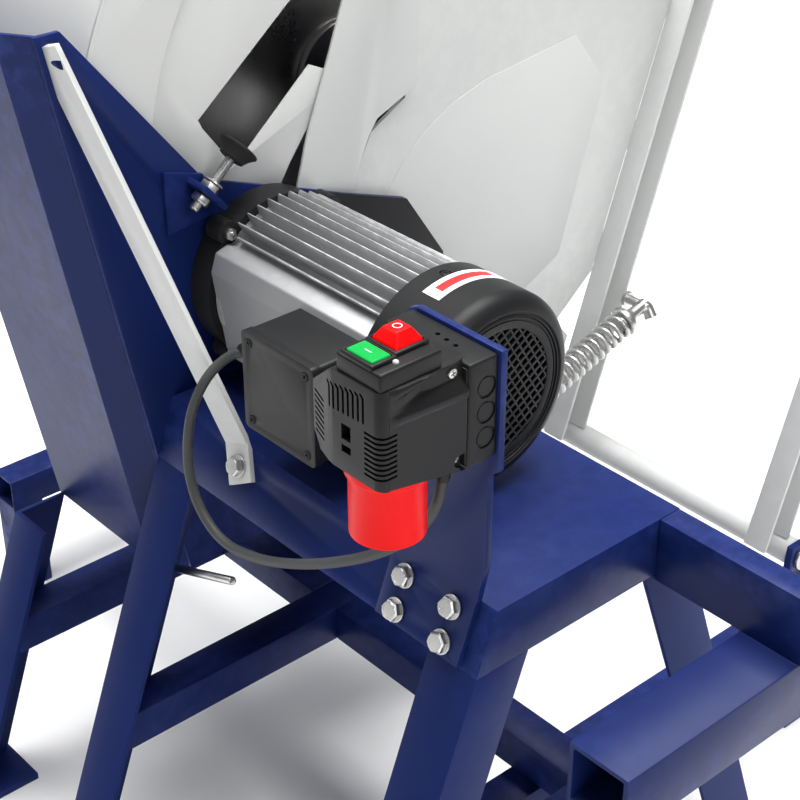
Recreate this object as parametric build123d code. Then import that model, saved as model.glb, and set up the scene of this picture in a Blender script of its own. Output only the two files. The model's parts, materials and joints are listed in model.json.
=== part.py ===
"""Drive side of a rocking log saw: motor, switch, base frame, blade case and tilting log cradle.

Lengths are millimetres. Every piece is drawn about the motor axis (x along the shaft towards
the fan, y towards the operator, z up) and the finished set is then moved to stand on z = 0.
"""
from math import atan2, cos, degrees, hypot, radians, sin, sqrt, tan
import os

from build123d import *

# ---- overall sizes ----
AXIS_HEIGHT = 600.0          # floor to motor axis
SHEET = 5.0                  # folded base sheet
FIT = 0.05                   # radial running fit of a shaft in its bore
GAP = 0.5                    # air between parts that pass each other

# ---- platform under the motor ----
PLAT_TOP = -100.0
PLAT_X0 = -245.0
PLAT_X1 = 188.0
PLAT_Y0 = -108.0
PLAT_Y1 = 105.0
SKIRT_DEEP = 57.0
LEAN = 0.37                  # how far a leg or skirt spreads for each unit it drops
SKIRT_BOTTOM = PLAT_TOP - SKIRT_DEEP
FLOOR = -AXIS_HEIGHT
FOOT_T = 8.0
LEG_BOTTOM = FLOOR + FOOT_T
LEG_X = 55.0
LEG_Y = 58.0
RING_TOP = -400.0
TUBE = 40.0
TUBE_WALL = 3.0
ARM_REACH = 210.0            # arm beyond the platform's +x end
ARM_DEEP = 63.0

# ---- motor ----
FIN_R = 84.0
CORE_R = 68.0
FIN_T = 3.2
FIN_STEP = 11.0
FIN_COUNT = 24
FIN_FIRST = -120.0           # direction of the first fin, degrees from +y
BODY_LEN = 215.0
SHIELD_LEN = 30.0
SHIELD_R = 80.0
SHAFT_R = 12.0
COWL_R = 88.0
COWL_LEN = 73.5
COWL_WALL = 3.0
GRILLE_R = 69.6
FAN_R = 66.0
FAN_X = 30.0
FAN_LEN = 24.0

# ---- terminal box ----
TB_X = -48.0
TB_SIZE = 92.0
TB_Z = -4.0
TB_FRONT = -134.0
TB_LID = 9.0
TB_PITCH = 74.0
CABLE_D = 9.0
CABLE_R = CABLE_D / 2
GLAND_Y = -114.0
GLAND_Z = 4.0
GLAND_LEN = 10.0

# ---- switch ----
SP_T = 6.0                   # switch plate thickness
SP_BACK = PLAT_Y0
SP_FRONT = SP_BACK - SP_T
SP_TOP = 133.0
SW_X0 = 96.0
SW_X1 = 184.0
SW_REAR_D = 43.0
SW_MID = SP_FRONT - SW_REAR_D
SW_FRONT = -225.0
SW_REAR_Z0 = 45.0
SW_REAR_Z1 = 130.0
SW_Z0 = 62.0
SW_Z1 = 139.0
BLOCK_X0 = 136.0
BLOCK_Z1 = 153.0
PLUG_X = 152.0
PLUG_Y = -189.0
PLUG_R = 32.5
PLUG_COLLAR_R = 35.5
PLUG_Z0 = -2.0
PLUG_COLLAR_H = 12.0
BOLT_DX = 55.0
BOLT_DROP = 29.0
BOLT_R = 5.0
BOLT_AF = 16.0
WASHER_R = 10.5

# ---- blade case ----
CASE_X1 = -245.0             # face the motor is bolted to
CASE_X0 = -445.0
BEVEL_X = 28.0
CASE_TOP = 270.0
CASE_BOTTOM = -300.0
CASE_FAR = 330.0
ARBOR_Y = 190.0
ARBOR_Z = 110.0
ARBOR_R = 15.0
BLADE_R = 350.0
BLADE_T = 3.4
BLADE_X = -352.0
TEETH = 42
BELT_X = -285.0
PULLEY_W = 18.0
MOTOR_PULLEY_R = 32.0
ARBOR_PULLEY_R = 64.0
BELT_T = 8.0
FLANGE_R = 60.0

# ---- rocking cradle ----
PIVOT_Y = 455.0
PIVOT_Z = -375.0
RAIL = 30.0
RAIL_X0 = -700.0
RAIL_X1 = 75.0
PIN_R = 10.0
UP_SLOPE = 0.347
UP_W = 42.0
UP_T = 28.0
UP_TOP = 255.0
GUARD_X = -262.0             # motor side cradle guard, its -x face
GUARD_T = 4.0
GUARD_FAR_X = -424.0
SWING = 20.0                 # degrees from rest to the buffer

# ---- stop buffer ----
BUF_Y = -54.0
BUF_Z = 110.0
BUF_X = -230.0
BUF_ANGLE = 40.0
BUF_R = 19.5
BUF_LEN = 14.0
STUD_R = 5.0

# ---- spring ----
SPR_X = -205.0
SPR_R = 10.5
SPR_WIRE = 2.6
SPR_A = (222.0, -298.0)
SPR_B = (501.0, -208.0)


def box(x0, x1, y0, y1, z0, z1):
    """Block between two corners."""
    mid = ((x0 + x1) / 2, (y0 + y1) / 2, (z0 + z1) / 2)
    return Pos(*mid) * Box(abs(x1 - x0), abs(y1 - y0), abs(z1 - z0))


def rod(start, direction, radius, length):
    """Round bar from a start point along a direction."""
    plane = Plane(origin=start, z_dir=direction)
    return extrude(plane * Circle(radius), length)


def tube(start, direction, outer, inner, length):
    plane = Plane(origin=start, z_dir=direction)
    return extrude(plane * (Circle(outer) - Circle(inner)), length)


def hexagon(start, direction, across, length):
    plane = Plane(origin=start, z_dir=direction)
    return extrude(plane * RegularPolygon(across / sqrt(3), 6), length)


def plate_yz(points, x0, thick):
    """Flat plate square to the shaft, drawn in y and z."""
    plane = Plane(origin=(x0, 0, 0), x_dir=(0, 1, 0), z_dir=(1, 0, 0))
    return extrude(plane * make_face(Polyline(*points, close=True)), thick)


def plate_xz(points, y0, thick):
    """Flat plate facing the near side, drawn in x and z, growing towards -y."""
    plane = Plane(origin=(0, y0, 0), x_dir=(1, 0, 0), z_dir=(0, -1, 0))
    return extrude(plane * make_face(Polyline(*points, close=True)), thick)


def plate_xy(points, z0, thick):
    plane = Plane(origin=(0, 0, z0))
    return extrude(plane * make_face(Polyline(*points, close=True)), thick)


def near_y(z):
    """Outer face of the near skirt and near legs at a height."""
    return PLAT_Y0 - LEAN * (PLAT_TOP - z)


def far_y(z):
    return PLAT_Y1 + LEAN * (PLAT_TOP - z)


LEAN_LEN = hypot(1.0, LEAN)
SKIRT_OUT = (0, -1 / LEAN_LEN, LEAN / LEAN_LEN)
SKIRT_T_Y = SHEET * LEAN_LEN


# ================= base =================
def platform():
    """Folded platform sheet with two spread skirts and a square end skirt."""
    z0 = SKIRT_BOTTOM
    low = PLAT_TOP - SHEET
    section = [
        (PLAT_Y0, PLAT_TOP),
        (PLAT_Y1, PLAT_TOP),
        (far_y(z0), z0),
        (far_y(z0) - SKIRT_T_Y, z0),
        (far_y(low) - SKIRT_T_Y, low),
        (near_y(low) + SKIRT_T_Y, low),
        (near_y(z0) + SKIRT_T_Y, z0),
        (near_y(z0), z0),
    ]
    body = plate_yz(section, PLAT_X0, PLAT_X1 - PLAT_X0)
    end = [
        (PLAT_Y0, PLAT_TOP),
        (PLAT_Y1, PLAT_TOP),
        (far_y(z0), z0),
        (near_y(z0), z0),
    ]
    body += plate_yz(end, PLAT_X1 - SHEET, SHEET)
    for x, z in bolt_spots():
        body -= rod(skirt_point(x, z, -30), SKIRT_OUT, BOLT_R, 60)
    body -= rod(skirt_point(STRAP_X, STRAP_Z, -30), SKIRT_OUT, BOLT_R, 60)
    for x in (-190, -60, 60, 150):
        body -= rod((x, far_y(z0 + 25) - 20, z0 + 25), (0, 1, 0), 5.5, 40)
    return body


def skirt_point(x, z, out):
    """Point on the near skirt, moved outwards square to it."""
    return (x, near_y(z) + SKIRT_OUT[1] * out, z + SKIRT_OUT[2] * out)


def bolt_spots():
    """Four bolts of the switch plate's foot."""
    x0 = 93.0
    z0 = PLAT_TOP - 15.0
    return [(x0 + a, z0 - b) for a in (0, BOLT_DX) for b in (0, BOLT_DROP)]


STRAP_X = -130.0
STRAP_Z = -118.0


def angle_leg(x0, side, corner_at_high_x, top=SKIRT_BOTTOM):
    """Spread corner leg of angle section, from the skirt down to its foot."""
    def at(z):
        return near_y(z) if side < 0 else far_y(z)
    z0 = LEG_BOTTOM
    z1 = top
    inward = -side
    t = SKIRT_T_Y * inward
    flange = [
        (at(z1), z1),
        (at(z0), z0),
        (at(z0) + t, z0),
        (at(z1) + t, z1),
    ]
    web = [
        (at(z1), z1),
        (at(z0), z0),
        (at(z0) + LEG_Y * inward, z0),
        (at(z1) + LEG_Y * inward, z1),
    ]
    leg = plate_yz(flange, x0, LEG_X)
    web_x = x0 + LEG_X - SHEET if corner_at_high_x else x0
    return leg + plate_yz(web, web_x, SHEET) + foot(x0, side)


def foot(x0, side):
    y = near_y(LEG_BOTTOM) if side < 0 else far_y(LEG_BOTTOM)
    inner = y - side * (LEG_Y + 6)
    outer = y + side * 8
    pad = box(x0 - 5, x0 + LEG_X + 5, inner, outer, FLOOR, LEG_BOTTOM)
    return pad - rod((x0 + LEG_X / 2, (inner + outer) / 2, FLOOR - 1), (0, 0, 1), 6, FOOT_T + 2)


LEGS = {
    "a": (PLAT_X1 - LEG_X, -1, True),
    "b": (PLAT_X1 - LEG_X, 1, True),
    "c": (PLAT_X0, -1, False),
    "d": (PLAT_X0, 1, False),
}
OUT_LEG_X = CASE_X0


def square_tube(x0, x1, y0, y1, z0, z1, along):
    """Hollow square tube, open at both ends."""
    w = TUBE_WALL
    outer = box(x0, x1, y0, y1, z0, z1)
    if along == "x":
        return outer - box(x0 - 1, x1 + 1, y0 + w, y1 - w, z0 + w, z1 - w)
    if along == "y":
        return outer - box(x0 + w, x1 - w, y0 - 1, y1 + 1, z0 + w, z1 - w)
    return outer - box(x0 + w, x1 - w, y0 + w, y1 - w, z0 - 1, z1 + 1)


def cross_tube(x0):
    """Lower tube joining a near leg to a far leg."""
    z1 = RING_TOP
    z0 = z1 - TUBE
    inset = SKIRT_T_Y
    body = square_tube(x0, x0 + TUBE, near_y(z1), far_y(z1), z0, z1, "y")
    near = [
        (near_y(z0) + inset, z0),
        (near_y(z1) + inset, z1),
        (far_y(z1) - inset, z1),
        (far_y(z0) - inset, z0),
    ]
    return body & plate_yz(near, x0, TUBE)


RING_X_A = PLAT_X1 - SHEET - TUBE
RING_X_B = PLAT_X0 + SHEET
RING_X_C = OUT_LEG_X + SHEET


def long_tube(y0, x0, x1):
    return square_tube(x0, x1, y0, y0 + TUBE, RING_TOP - TUBE, RING_TOP, "x")


def pivot_arm(x0, y0):
    """Tube carrying the cradle's hinge lug out in front of the base."""
    return square_tube(x0, x0 + TUBE, y0, PIVOT_Y + 30, RING_TOP - 2 * TUBE, RING_TOP - TUBE, "y")


def pivot_lug(x0):
    """Upright lug with the hinge bore."""
    t = 8.0
    foot_z = RING_TOP - TUBE
    shape = [
        (PIVOT_Y - 28, foot_z),
        (PIVOT_Y + 28, foot_z),
        (PIVOT_Y + 18, PIVOT_Z + 18),
        (PIVOT_Y - 18, PIVOT_Z + 18),
    ]
    return plate_yz(shape, x0, t) - rod((x0 - 1, PIVOT_Y, PIVOT_Z), (1, 0, 0), PIN_R + FIT, t + 2)


# ================= blade case =================
def case_near(z, bevel):
    """Near side of the case: at the motor face or beyond the bevelled strip."""
    if bevel:
        return -181.4 - 0.184 * z
    return -159.9 - 0.195 * z


def case_outline(z, inset):
    """Level section of the near and outer walls, open towards the operator and the motor face."""
    x1 = CASE_X1 - SHEET
    near0 = case_near(z, False)
    near1 = case_near(z, True)
    if inset:
        return [
            (x1 + 1, near0 + inset),
            (x1 - BEVEL_X + 1, near1 + inset),
            (CASE_X0 + inset, near1 + inset),
            (CASE_X0 + inset, CASE_FAR + 1),
            (x1 + 1, CASE_FAR + 1),
        ]
    return [
        (x1, near0),
        (x1 - BEVEL_X, near1),
        (CASE_X0, near1),
        (CASE_X0, CASE_FAR),
        (x1, CASE_FAR),
    ]


def case_solid(inset, z0, z1):
    sections = []
    for z in (z0, z1):
        wire = Polyline(*case_outline(z, inset), close=True)
        sections.append(Plane(origin=(0, 0, z)) * make_face(wire))
    return loft(sections, ruled=True)


def blade_case():
    """Folded near and outer walls round the lower half of the blade, open above and below."""
    body = case_solid(0, CASE_BOTTOM, CASE_TOP) - case_solid(SHEET, CASE_BOTTOM, CASE_TOP)
    body -= plate_yz(far_cut(), CASE_X0 - 5, 400)
    return body - rod((CASE_X0 - 5, ARBOR_Y, ARBOR_Z), (1, 0, 0), 70, 20)


def far_cut():
    """Open corner on the operator's side that lets the log reach the blade."""
    return [
        (60, CASE_TOP + 5),
        (150, 62),
        (250, -60),
        (300, -200),
        (250, CASE_BOTTOM - 1),
        (CASE_FAR + 20, CASE_BOTTOM - 1),
        (CASE_FAR + 20, CASE_TOP + 5),
    ]


def back_plate():
    """Motor face of the case, with the stepped top edge and a stud for the brace."""
    low = CASE_BOTTOM
    points = [
        (case_near(low, False), low),
        (case_near(CASE_TOP, False), CASE_TOP),
        (-188, CASE_TOP),
        (-100, 158),
        (-63, 111),
        (-53, 102),
        (57, 60),
        (105, 41),
        (181, 14),
        (231, -60),
        (290, -160),
        (240, low),
    ]
    plate = plate_yz(points, CASE_X1 - SHEET, SHEET)
    plate -= rod((CASE_X1 - SHEET - 1, 0, 0), (1, 0, 0), 30, SHEET + 2)
    return plate + rod((CASE_X1 - 1, STRAP_TOP[1], STRAP_TOP[2]), (1, 0, 0), 6, 15)


STRAP_TOP = (-240.0, -196.0, 250.0)


def dark_cover():
    """Black cover plate beside the motor that closes the belt run."""
    points = [
        (84, 49.5),
        (181, 14),
        (231, -60),
        (226, -97),
        (86, -97),
    ]
    lift = 1.0
    return plate_yz(points, CASE_X1, 3.0) + rod((CASE_X1 + 3, 150, -40), (1, 0, 0), 6, lift)


def brace_strap():
    """Flat bar from the skirt up to the bevelled edge of the case."""
    thick = 5.0
    half = 15.0
    top = Vector(*STRAP_TOP)
    low = Vector(-141.5, -107.5, -98.5)
    run = (top - low).normalized()
    side = run.cross(Vector(0, -0.94, 0.35)).normalized()
    out = side.cross(run).normalized()
    if out.Y > 0:
        out = out * -1
    plane = Plane(origin=tuple(low + out * 1), x_dir=tuple(side), z_dir=tuple(out))
    length = (top - low).length + 14
    up = 1 if plane.y_dir.dot(run) > 0 else -1
    body = extrude(plane * Pos(0, up * length / 2) * Rectangle(2 * half, length), thick)
    end = Vector(STRAP_X, near_y(STRAP_Z), STRAP_Z)
    foot_run = (end - Vector(-141.5, near_y(-98.5), -98.5)).normalized()
    pad_plane = Plane(origin=tuple(end), x_dir=tuple(foot_run), z_dir=SKIRT_OUT)
    pad = extrude(pad_plane * Pos(-6, 0) * Rectangle(44, 2 * half), thick)
    body = body + pad
    body -= box(-400, 300, PLAT_Y0, 400, -500, 500)
    body -= box(-400, CASE_X1, -400, 400, -500, 500)
    body -= rod((CASE_X1 - 1, STRAP_TOP[1], STRAP_TOP[2]), (1, 0, 0), 6, 20)
    hole = skirt_point(STRAP_X, STRAP_Z, -2)
    return body - rod(hole, SKIRT_OUT, BOLT_R + 0.3, 20)


def hex_bolt(base, direction, washer=True, grip=None):
    """Bolt head with washer, and the shank through the sheet to its nut."""
    d = Vector(*direction).normalized()
    b = Vector(*base)
    depth = SHEET + SP_T + 0.0 if grip is None else grip
    body = rod(tuple(b), tuple(d), WASHER_R, 2.0)
    body += hexagon(tuple(b + d * 2), tuple(d), BOLT_AF, 6.5)
    body += rod(tuple(b - d * (depth + 10)), tuple(d), BOLT_R - 0.1, depth + 10)
    nut = hexagon(tuple(b - d * depth), tuple(d * -1), BOLT_AF, 8)
    return body + nut


def case_prop(x0, side):
    """Outer leg under the case."""
    return angle_leg(x0, side, False, CASE_BOTTOM)


# ================= motor =================
PAD = [(-78, 30), (-72, 48), (-45, 56), (-45, -60), (-63.8, -60), (-66, -50)]


def motor_housing():
    """Ribbed aluminium barrel with a flat side for the terminal box."""
    body = rod((-BODY_LEN, 0, 0), (1, 0, 0), CORE_R, BODY_LEN)
    for i in range(FIN_COUNT):
        fin = box(-BODY_LEN + 2, -8, CORE_R - 6, FIN_R, -FIN_T / 2, FIN_T / 2)
        body += Rot(FIN_FIRST + i * FIN_STEP, 0, 0) * fin
    body += rod((-BODY_LEN, 0, 0), (1, 0, 0), CORE_R + 6, 8)
    body += rod((-6, 0, 0), (1, 0, 0), COWL_R - COWL_WALL, 6)
    body += plate_yz(PAD, -BODY_LEN, BODY_LEN - 6)
    for a in EARS:
        c = radians(a)
        spot = (-BODY_LEN - 1, TIE_R * cos(c), TIE_R * sin(c))
        body -= rod(spot, (1, 0, 0), 10, 15)
    return body - rod((-BODY_LEN - 20, 0, 0), (1, 0, 0), SHAFT_R + FIT, BODY_LEN + 40)


EARS = (38, 132, 228, 308)
TIE_R = 81.0


def drive_shield():
    """Black drive end cover with four bolt ears and the mounting flange."""
    x0 = -BODY_LEN - SHIELD_LEN
    body = rod((x0, 0, 0), (1, 0, 0), SHIELD_R, SHIELD_LEN - 2)
    body += rod((-BODY_LEN - 2, 0, 0), (1, 0, 0), CORE_R, 2)
    for a in EARS:
        c = radians(a)
        body += rod((-BODY_LEN - 22, TIE_R * cos(c), TIE_R * sin(c)), (1, 0, 0), 11, 20)
    return body - rod((x0 - 1, 0, 0), (1, 0, 0), SHAFT_R + FIT, SHIELD_LEN + 2)


def tie_bolts():
    group = []
    for a in EARS:
        c = radians(a)
        spot = (-BODY_LEN - 2, TIE_R * cos(c), TIE_R * sin(c))
        group.append(hexagon(spot, (1, 0, 0), 10, 5) + rod(spot, (1, 0, 0), 3, 9))
    return Compound(children=group)


def fan_cowl():
    """Black cup over the fan with an open front ring."""
    body = rod((-6, 0, 0), (1, 0, 0), COWL_R, COWL_LEN + 6)
    body = fillet(body.edges().sort_by(Axis.X)[-1], 12)
    body -= rod((-7, 0, 0), (1, 0, 0), COWL_R - COWL_WALL, COWL_LEN + 7 - 4)
    body -= rod((COWL_LEN - 8, 0, 0), (1, 0, 0), GRILLE_R, 20)
    return body


def cowl_grille():
    """Round grid of square holes set in the cowl's front."""
    t = 2.5
    pitch = 9.0
    bar = 2.6
    body = tube((COWL_LEN - 4, 0, 0), (1, 0, 0), GRILLE_R, GRILLE_R - 5, t)
    n = int(GRILLE_R / pitch)
    for i in range(-n, n + 1):
        off = i * pitch
        half = sqrt(max(GRILLE_R ** 2 - (abs(off) + bar) ** 2, 1)) - 1
        a = box(COWL_LEN - 4, COWL_LEN - 4 + t, -half, half, off - bar / 2, off + bar / 2)
        body += a
        body += Rot(90, 0, 0) * a
    return body


def cowl_screws():
    group = []
    for a in (90, 210, 330):
        c = radians(a)
        d = (0, cos(c), sin(c))
        start = (8, (COWL_R - 1) * cos(c), (COWL_R - 1) * sin(c))
        group.append(rod(start, d, 4.5, 2.5))
    return Compound(children=group)


def cowl_with_seats(cowl):
    for a in (90, 210, 330):
        c = radians(a)
        cowl -= rod((8, (COWL_R - 1) * cos(c), (COWL_R - 1) * sin(c)), (0, cos(c), sin(c)), 4.5, 5)
    return cowl


def turning_label():
    """White turning-direction label on the top of the cowl."""
    ring = tube((LABEL_X, 0, 0), (1, 0, 0), COWL_R + 0.6, COWL_R, 20)
    a, b = radians(52), radians(110)
    keep = plate_yz([(0, 0), (200 * cos(a), 200 * sin(a)), (0, 400), (200 * cos(b), 200 * sin(b))], 0, 70)
    return ring & keep


LABEL_X = 13.0


def rotor():
    """Motor shaft, in one piece from the belt pulley to the fan."""
    x0 = BELT_X - PULLEY_W / 2 - 6
    return rod((x0, 0, 0), (1, 0, 0), SHAFT_R, FAN_X + FAN_LEN + 6 - x0)


def cooling_fan():
    body = rod((FAN_X, 0, 0), (1, 0, 0), 24, FAN_LEN)
    body += rod((FAN_X, 0, 0), (1, 0, 0), FAN_R, 3)
    for i in range(7):
        body += Rot(i * 360 / 7, 0, 0) * box(FAN_X, FAN_X + FAN_LEN, 20, FAN_R, -1.5, 1.5)
    return body - rod((FAN_X - 1, 0, 0), (1, 0, 0), SHAFT_R, FAN_LEN + 2)


# ================= terminal box =================
def terminal_base():
    h = TB_SIZE / 2
    body = box(TB_X - h, TB_X + h, TB_FRONT + TB_LID, -50, TB_Z - h, TB_Z + h)
    body = fillet(body.edges().filter_by(Axis.Y), 4)
    cut = [(-78, 30), (-72, 48), (-45, 56), (-20, 90), (-20, -90), (-60, -90), (-63.8, -60), (-66, -50)]
    body -= plate_yz(cut, TB_X - 100, 200)
    body -= rod((-7, 0, 0), (1, 0, 0), COWL_R + GAP, 20)
    hole = (TB_X - h - 1, GLAND_Y, GLAND_Z)
    body -= rod(hole, (1, 0, 0), 7, 8)
    for x, z in tb_spots():
        body -= rod((x, TB_FRONT + TB_LID - 1, z), (0, 1, 0), 2, 12)
    return body


def tb_spots():
    p = TB_PITCH / 2
    return [(TB_X + a, TB_Z + b) for a in (-p, p) for b in (-p, p)]


def terminal_lid():
    h = TB_SIZE / 2 + 1
    body = box(TB_X - h, TB_X + h, TB_FRONT, TB_FRONT + TB_LID, TB_Z - h, TB_Z + h)
    body = fillet(body.edges().filter_by(Axis.Y), 5)
    for x, z in tb_spots():
        body -= rod((x, TB_FRONT - 1, z), (0, 1, 0), 4.2, 3)
        body -= rod((x, TB_FRONT - 1, z), (0, 1, 0), 2, 20)
    return body


def terminal_screws():
    group = []
    for x, z in tb_spots():
        group.append(rod((x, TB_FRONT + 2, z), (0, -1, 0), 4, 2.4) + rod((x, TB_FRONT + 2, z), (0, 1, 0), 1.9, 14))
    return Compound(children=group)


def terminal_gland():
    x = TB_X - TB_SIZE / 2
    body = rod((x + 6, GLAND_Y, GLAND_Z), (-1, 0, 0), 7, 8)
    body += hexagon((x, GLAND_Y, GLAND_Z), (-1, 0, 0), 18, 6)
    body += rod((x - 6, GLAND_Y, GLAND_Z), (-1, 0, 0), 7.5, GLAND_LEN - 6)
    return body


def cable_points():
    """Route of the cable from the terminal box gland to the underside of the switch."""
    x = TB_X - TB_SIZE / 2 - GLAND_LEN
    return [
        (x, GLAND_Y, GLAND_Z),
        (x - 18, GLAND_Y, GLAND_Z),
        (-134, -129, -7),
        (-138, -147, -24),
        (-144, -159, -57),
        (-143, -165, -104),
        (-127, -167, -138),
        (-92, -168, -157),
        (-41, -169, -146),
        (9, -169, -124),
        (56, -167, -98),
        (100, -161, -70),
        (132, -153, -42),
        (154, -148, -12),
        (CABLE_END_X, CABLE_END_Y, 18),
        (CABLE_END_X, CABLE_END_Y, SW_REAR_Z0),
    ]


CABLE_END_X = 163.0
CABLE_END_Y = -145.0


def cable_radii():
    """Corner radii, each taking 45% of the shorter run beside it."""
    pts = [Vector(*p) for p in cable_points()]
    out = []
    for i in range(1, len(pts) - 1):
        a = pts[i] - pts[i - 1]
        b = pts[i + 1] - pts[i]
        turn = radians(a.get_angle(b))
        out.append(0.45 * min(a.length, b.length) / tan(turn / 2))
    return out


def motor_cable():
    pts = cable_points()
    path = FilletPolyline(*pts, radius=cable_radii())
    start = Vector(*pts[0])
    direction = (Vector(*pts[1]) - start).normalized()
    plane = Plane(origin=tuple(start), z_dir=tuple(direction))
    return sweep(plane * Circle(CABLE_R), path=path)


# ================= switch =================
def switch_plate():
    """Upright plate with a rounded corner; its foot is folded on to the skirt."""
    upper = plate_xz(
        [
            (86, PLAT_TOP),
            (86, SP_TOP - 14),
            (90, SP_TOP - 4),
            (100, SP_TOP),
            (189, SP_TOP),
            (189, 31),
            (179, 24),
            (179, PLAT_TOP),
        ],
        SP_BACK,
        SP_T,
    )
    rise = SP_T / LEAN_LEN
    drop = SKIRT_BOTTOM + 2
    foot_part = [
        (PLAT_Y0 - SP_T, PLAT_TOP),
        (PLAT_Y0, PLAT_TOP),
        (near_y(drop), drop),
        (near_y(drop) - rise, drop + rise * LEAN),
    ]
    foot_plate = plate_yz(foot_part, 72, 98)
    web = plate_xz([(72, PLAT_TOP), (86, -60), (179, -60), (170, PLAT_TOP)], SP_BACK, SP_T)
    body = upper + web + foot_plate
    body -= plate_xz([(170, PLAT_TOP - 1), (179, -60), (195, -60), (195, PLAT_TOP - 1)], SP_BACK + 1, 20)
    for x, z in bolt_spots():
        body -= rod(skirt_point(x, z, -20), SKIRT_OUT, BOLT_R, 60)
    for z in (60, 115):
        for x in (112, 172):
            body -= rod((x, SP_FRONT - 1, z), (0, 1, 0), 2.5, SP_T + 2)
    return body


def frame_bolts():
    """Four bolts of the switch plate and the one of the brace."""
    group = [hex_bolt(skirt_point(x, z, SP_T), SKIRT_OUT) for x, z in bolt_spots()]
    group.append(hex_bolt(skirt_point(STRAP_X, STRAP_Z, SHEET), SKIRT_OUT, grip=2 * SHEET))
    return Compound(children=group)


def switch_rear():
    """Rear half of the switch case, screwed to the plate."""
    body = box(SW_X0, SW_X1, SW_MID, SP_FRONT, SW_REAR_Z0, SW_REAR_Z1)
    body = fillet(body.edges().filter_by(Axis.Y), 4)
    for i in range(3):
        body -= rod((124 + 12 * i, SW_MID + 20, SW_REAR_Z1 + 1), (0, 0, -1), 2.2, 6)
    for i in range(3):
        body -= tube((SW_X1 - 1.2, -134, 106 - 20 * i), (1, 0, 0), 7.6, 6.6, 3)
    rise = SW_Z0 - SW_REAR_Z0
    return body - rod((PLUG_X, PLUG_Y, SW_REAR_Z0 - 1), (0, 0, 1), PLUG_COLLAR_R + GAP, rise + 1)


def switch_cover():
    """Front half of the switch case with chamfered left side and vents."""
    y0 = SW_FRONT
    y1 = SW_MID
    outline = [
        (SW_X0, y1),
        (SW_X1, y1),
        (SW_X1, y0),
        (SW_X0 + 14, y0),
        (SW_X0, y0 + 18),
    ]
    body = plate_xy(outline, SW_Z0, SW_Z1 - SW_Z0)
    chamfer_cut = plate_xz([(SW_X0 - 1, SW_Z1 + 1), (BLOCK_X0 - 2, SW_Z1 + 1), (SW_X0 - 1, 108)], 0, 300)
    body -= chamfer_cut
    body -= plate_xz([(SW_X0 - 1, SW_Z0 - 1), (SW_X0 + 14, SW_Z0 - 1), (SW_X0 - 1, SW_Z0 + 12)], 0, 300)
    vent_d = 2.0
    for i in range(8):
        x = 116 + 5.2 * i
        body -= box(x - 1.1, x + 1.1, y0 - 1, y0 + vent_d, 100, 122)
    for i in range(9):
        z = 66 + 5.0 * i
        body -= Pos(SW_X0, y0 + 18, z) * Rot(0, 0, degrees(atan2(-18, 14))) * box(3, 20, -1, vent_d, -1.1, 1.1)
    for z in (78, 92):
        body -= box(122, 134, y0 - 1, y0 + 4, z, z + 9)
    for i in range(9):
        z = 68 + 5.6 * i
        body -= box(SW_X1 - 2, SW_X1 + 1, y0 - 1, y0 + 20, z - 1.2, z + 1.2)
    body -= rod((PLUG_X, PLUG_Y, SW_Z0 - 1), (0, 0, 1), PLUG_R - 3, 6)
    for z in (SW_Z0 + 6, SW_Z1 - 8):
        body -= box(SW_X1 - 7, SW_X1 + 1, y1 - 9, y1 + 1, z - 5, z + 5)
        body -= rod((SW_X1 - 9, y1 - 5, z), (1, 0, 0), 1.2, 5)
    return body


def cover_screws():
    group = []
    for z in (SW_Z0 + 6, SW_Z1 - 8):
        spot = (SW_X1 - 7, SW_MID - 5, z)
        group.append(rod(spot, (1, 0, 0), 3, 3) + rod(spot, (-1, 0, 0), 1.2, 2))
    return Compound(children=group)


def cover_ribs():
    """Two raised guide ribs on the switch's right side."""
    t = 2.5
    a = Pos(0, -196, 106) * Rot(7, 0, 0) * box(SW_X1, SW_X1 + t, -27, 34, -2.5, 2.5)
    b = Pos(0, -190, 94) * Rot(-6, 0, 0) * box(SW_X1, SW_X1 + t, -27, 30, -2, 2)
    return a + b


def button_block():
    """Raised block that carries both buttons and the indicator window."""
    body = box(BLOCK_X0, SW_X1, SW_FRONT, SW_MID - 8, SW_Z1, BLOCK_Z1)
    body = fillet(body.edges().filter_by(Axis.Z), 3)
    rim = box(GREEN[0] - 3, GREEN[1] + 3, GREEN[2] - 3, GREEN[3] + 3, BLOCK_Z1, BLOCK_Z1 + 2)
    body += rim
    body -= box(GREEN[0] - GAP, GREEN[1] + GAP, GREEN[2] - GAP, GREEN[3] + GAP, SW_Z1 + 4, 200)
    rim2 = box(RED[0] - 3, RED[1] + 3, RED[2] - 3, RED[3] + 3, BLOCK_Z1, BLOCK_Z1 + 2)
    body += rim2
    body -= box(RED[0] - GAP, RED[1] + GAP, RED[2] - GAP, RED[3] + GAP, SW_Z1 + 4, 200)
    body -= box(LAMP[0], LAMP[1], LAMP[2], LAMP[3], BLOCK_Z1 - 2, 200)
    return body


GREEN = (144.0, 172.0, -220.0, -202.0)
RED = (143.0, 169.0, -196.0, -170.0)
LAMP = (174.0, 180.0, -208.0, -198.0)
PRESS = 3.0                   # button travel


def start_button():
    z0 = SW_Z1 + 4 + PRESS + GAP
    body = box(GREEN[0], GREEN[1], GREEN[2], GREEN[3], z0, BLOCK_Z1 + 4.5)
    return chamfer(body.faces().sort_by(Axis.Z)[-1].edges(), 1.2)


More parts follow.
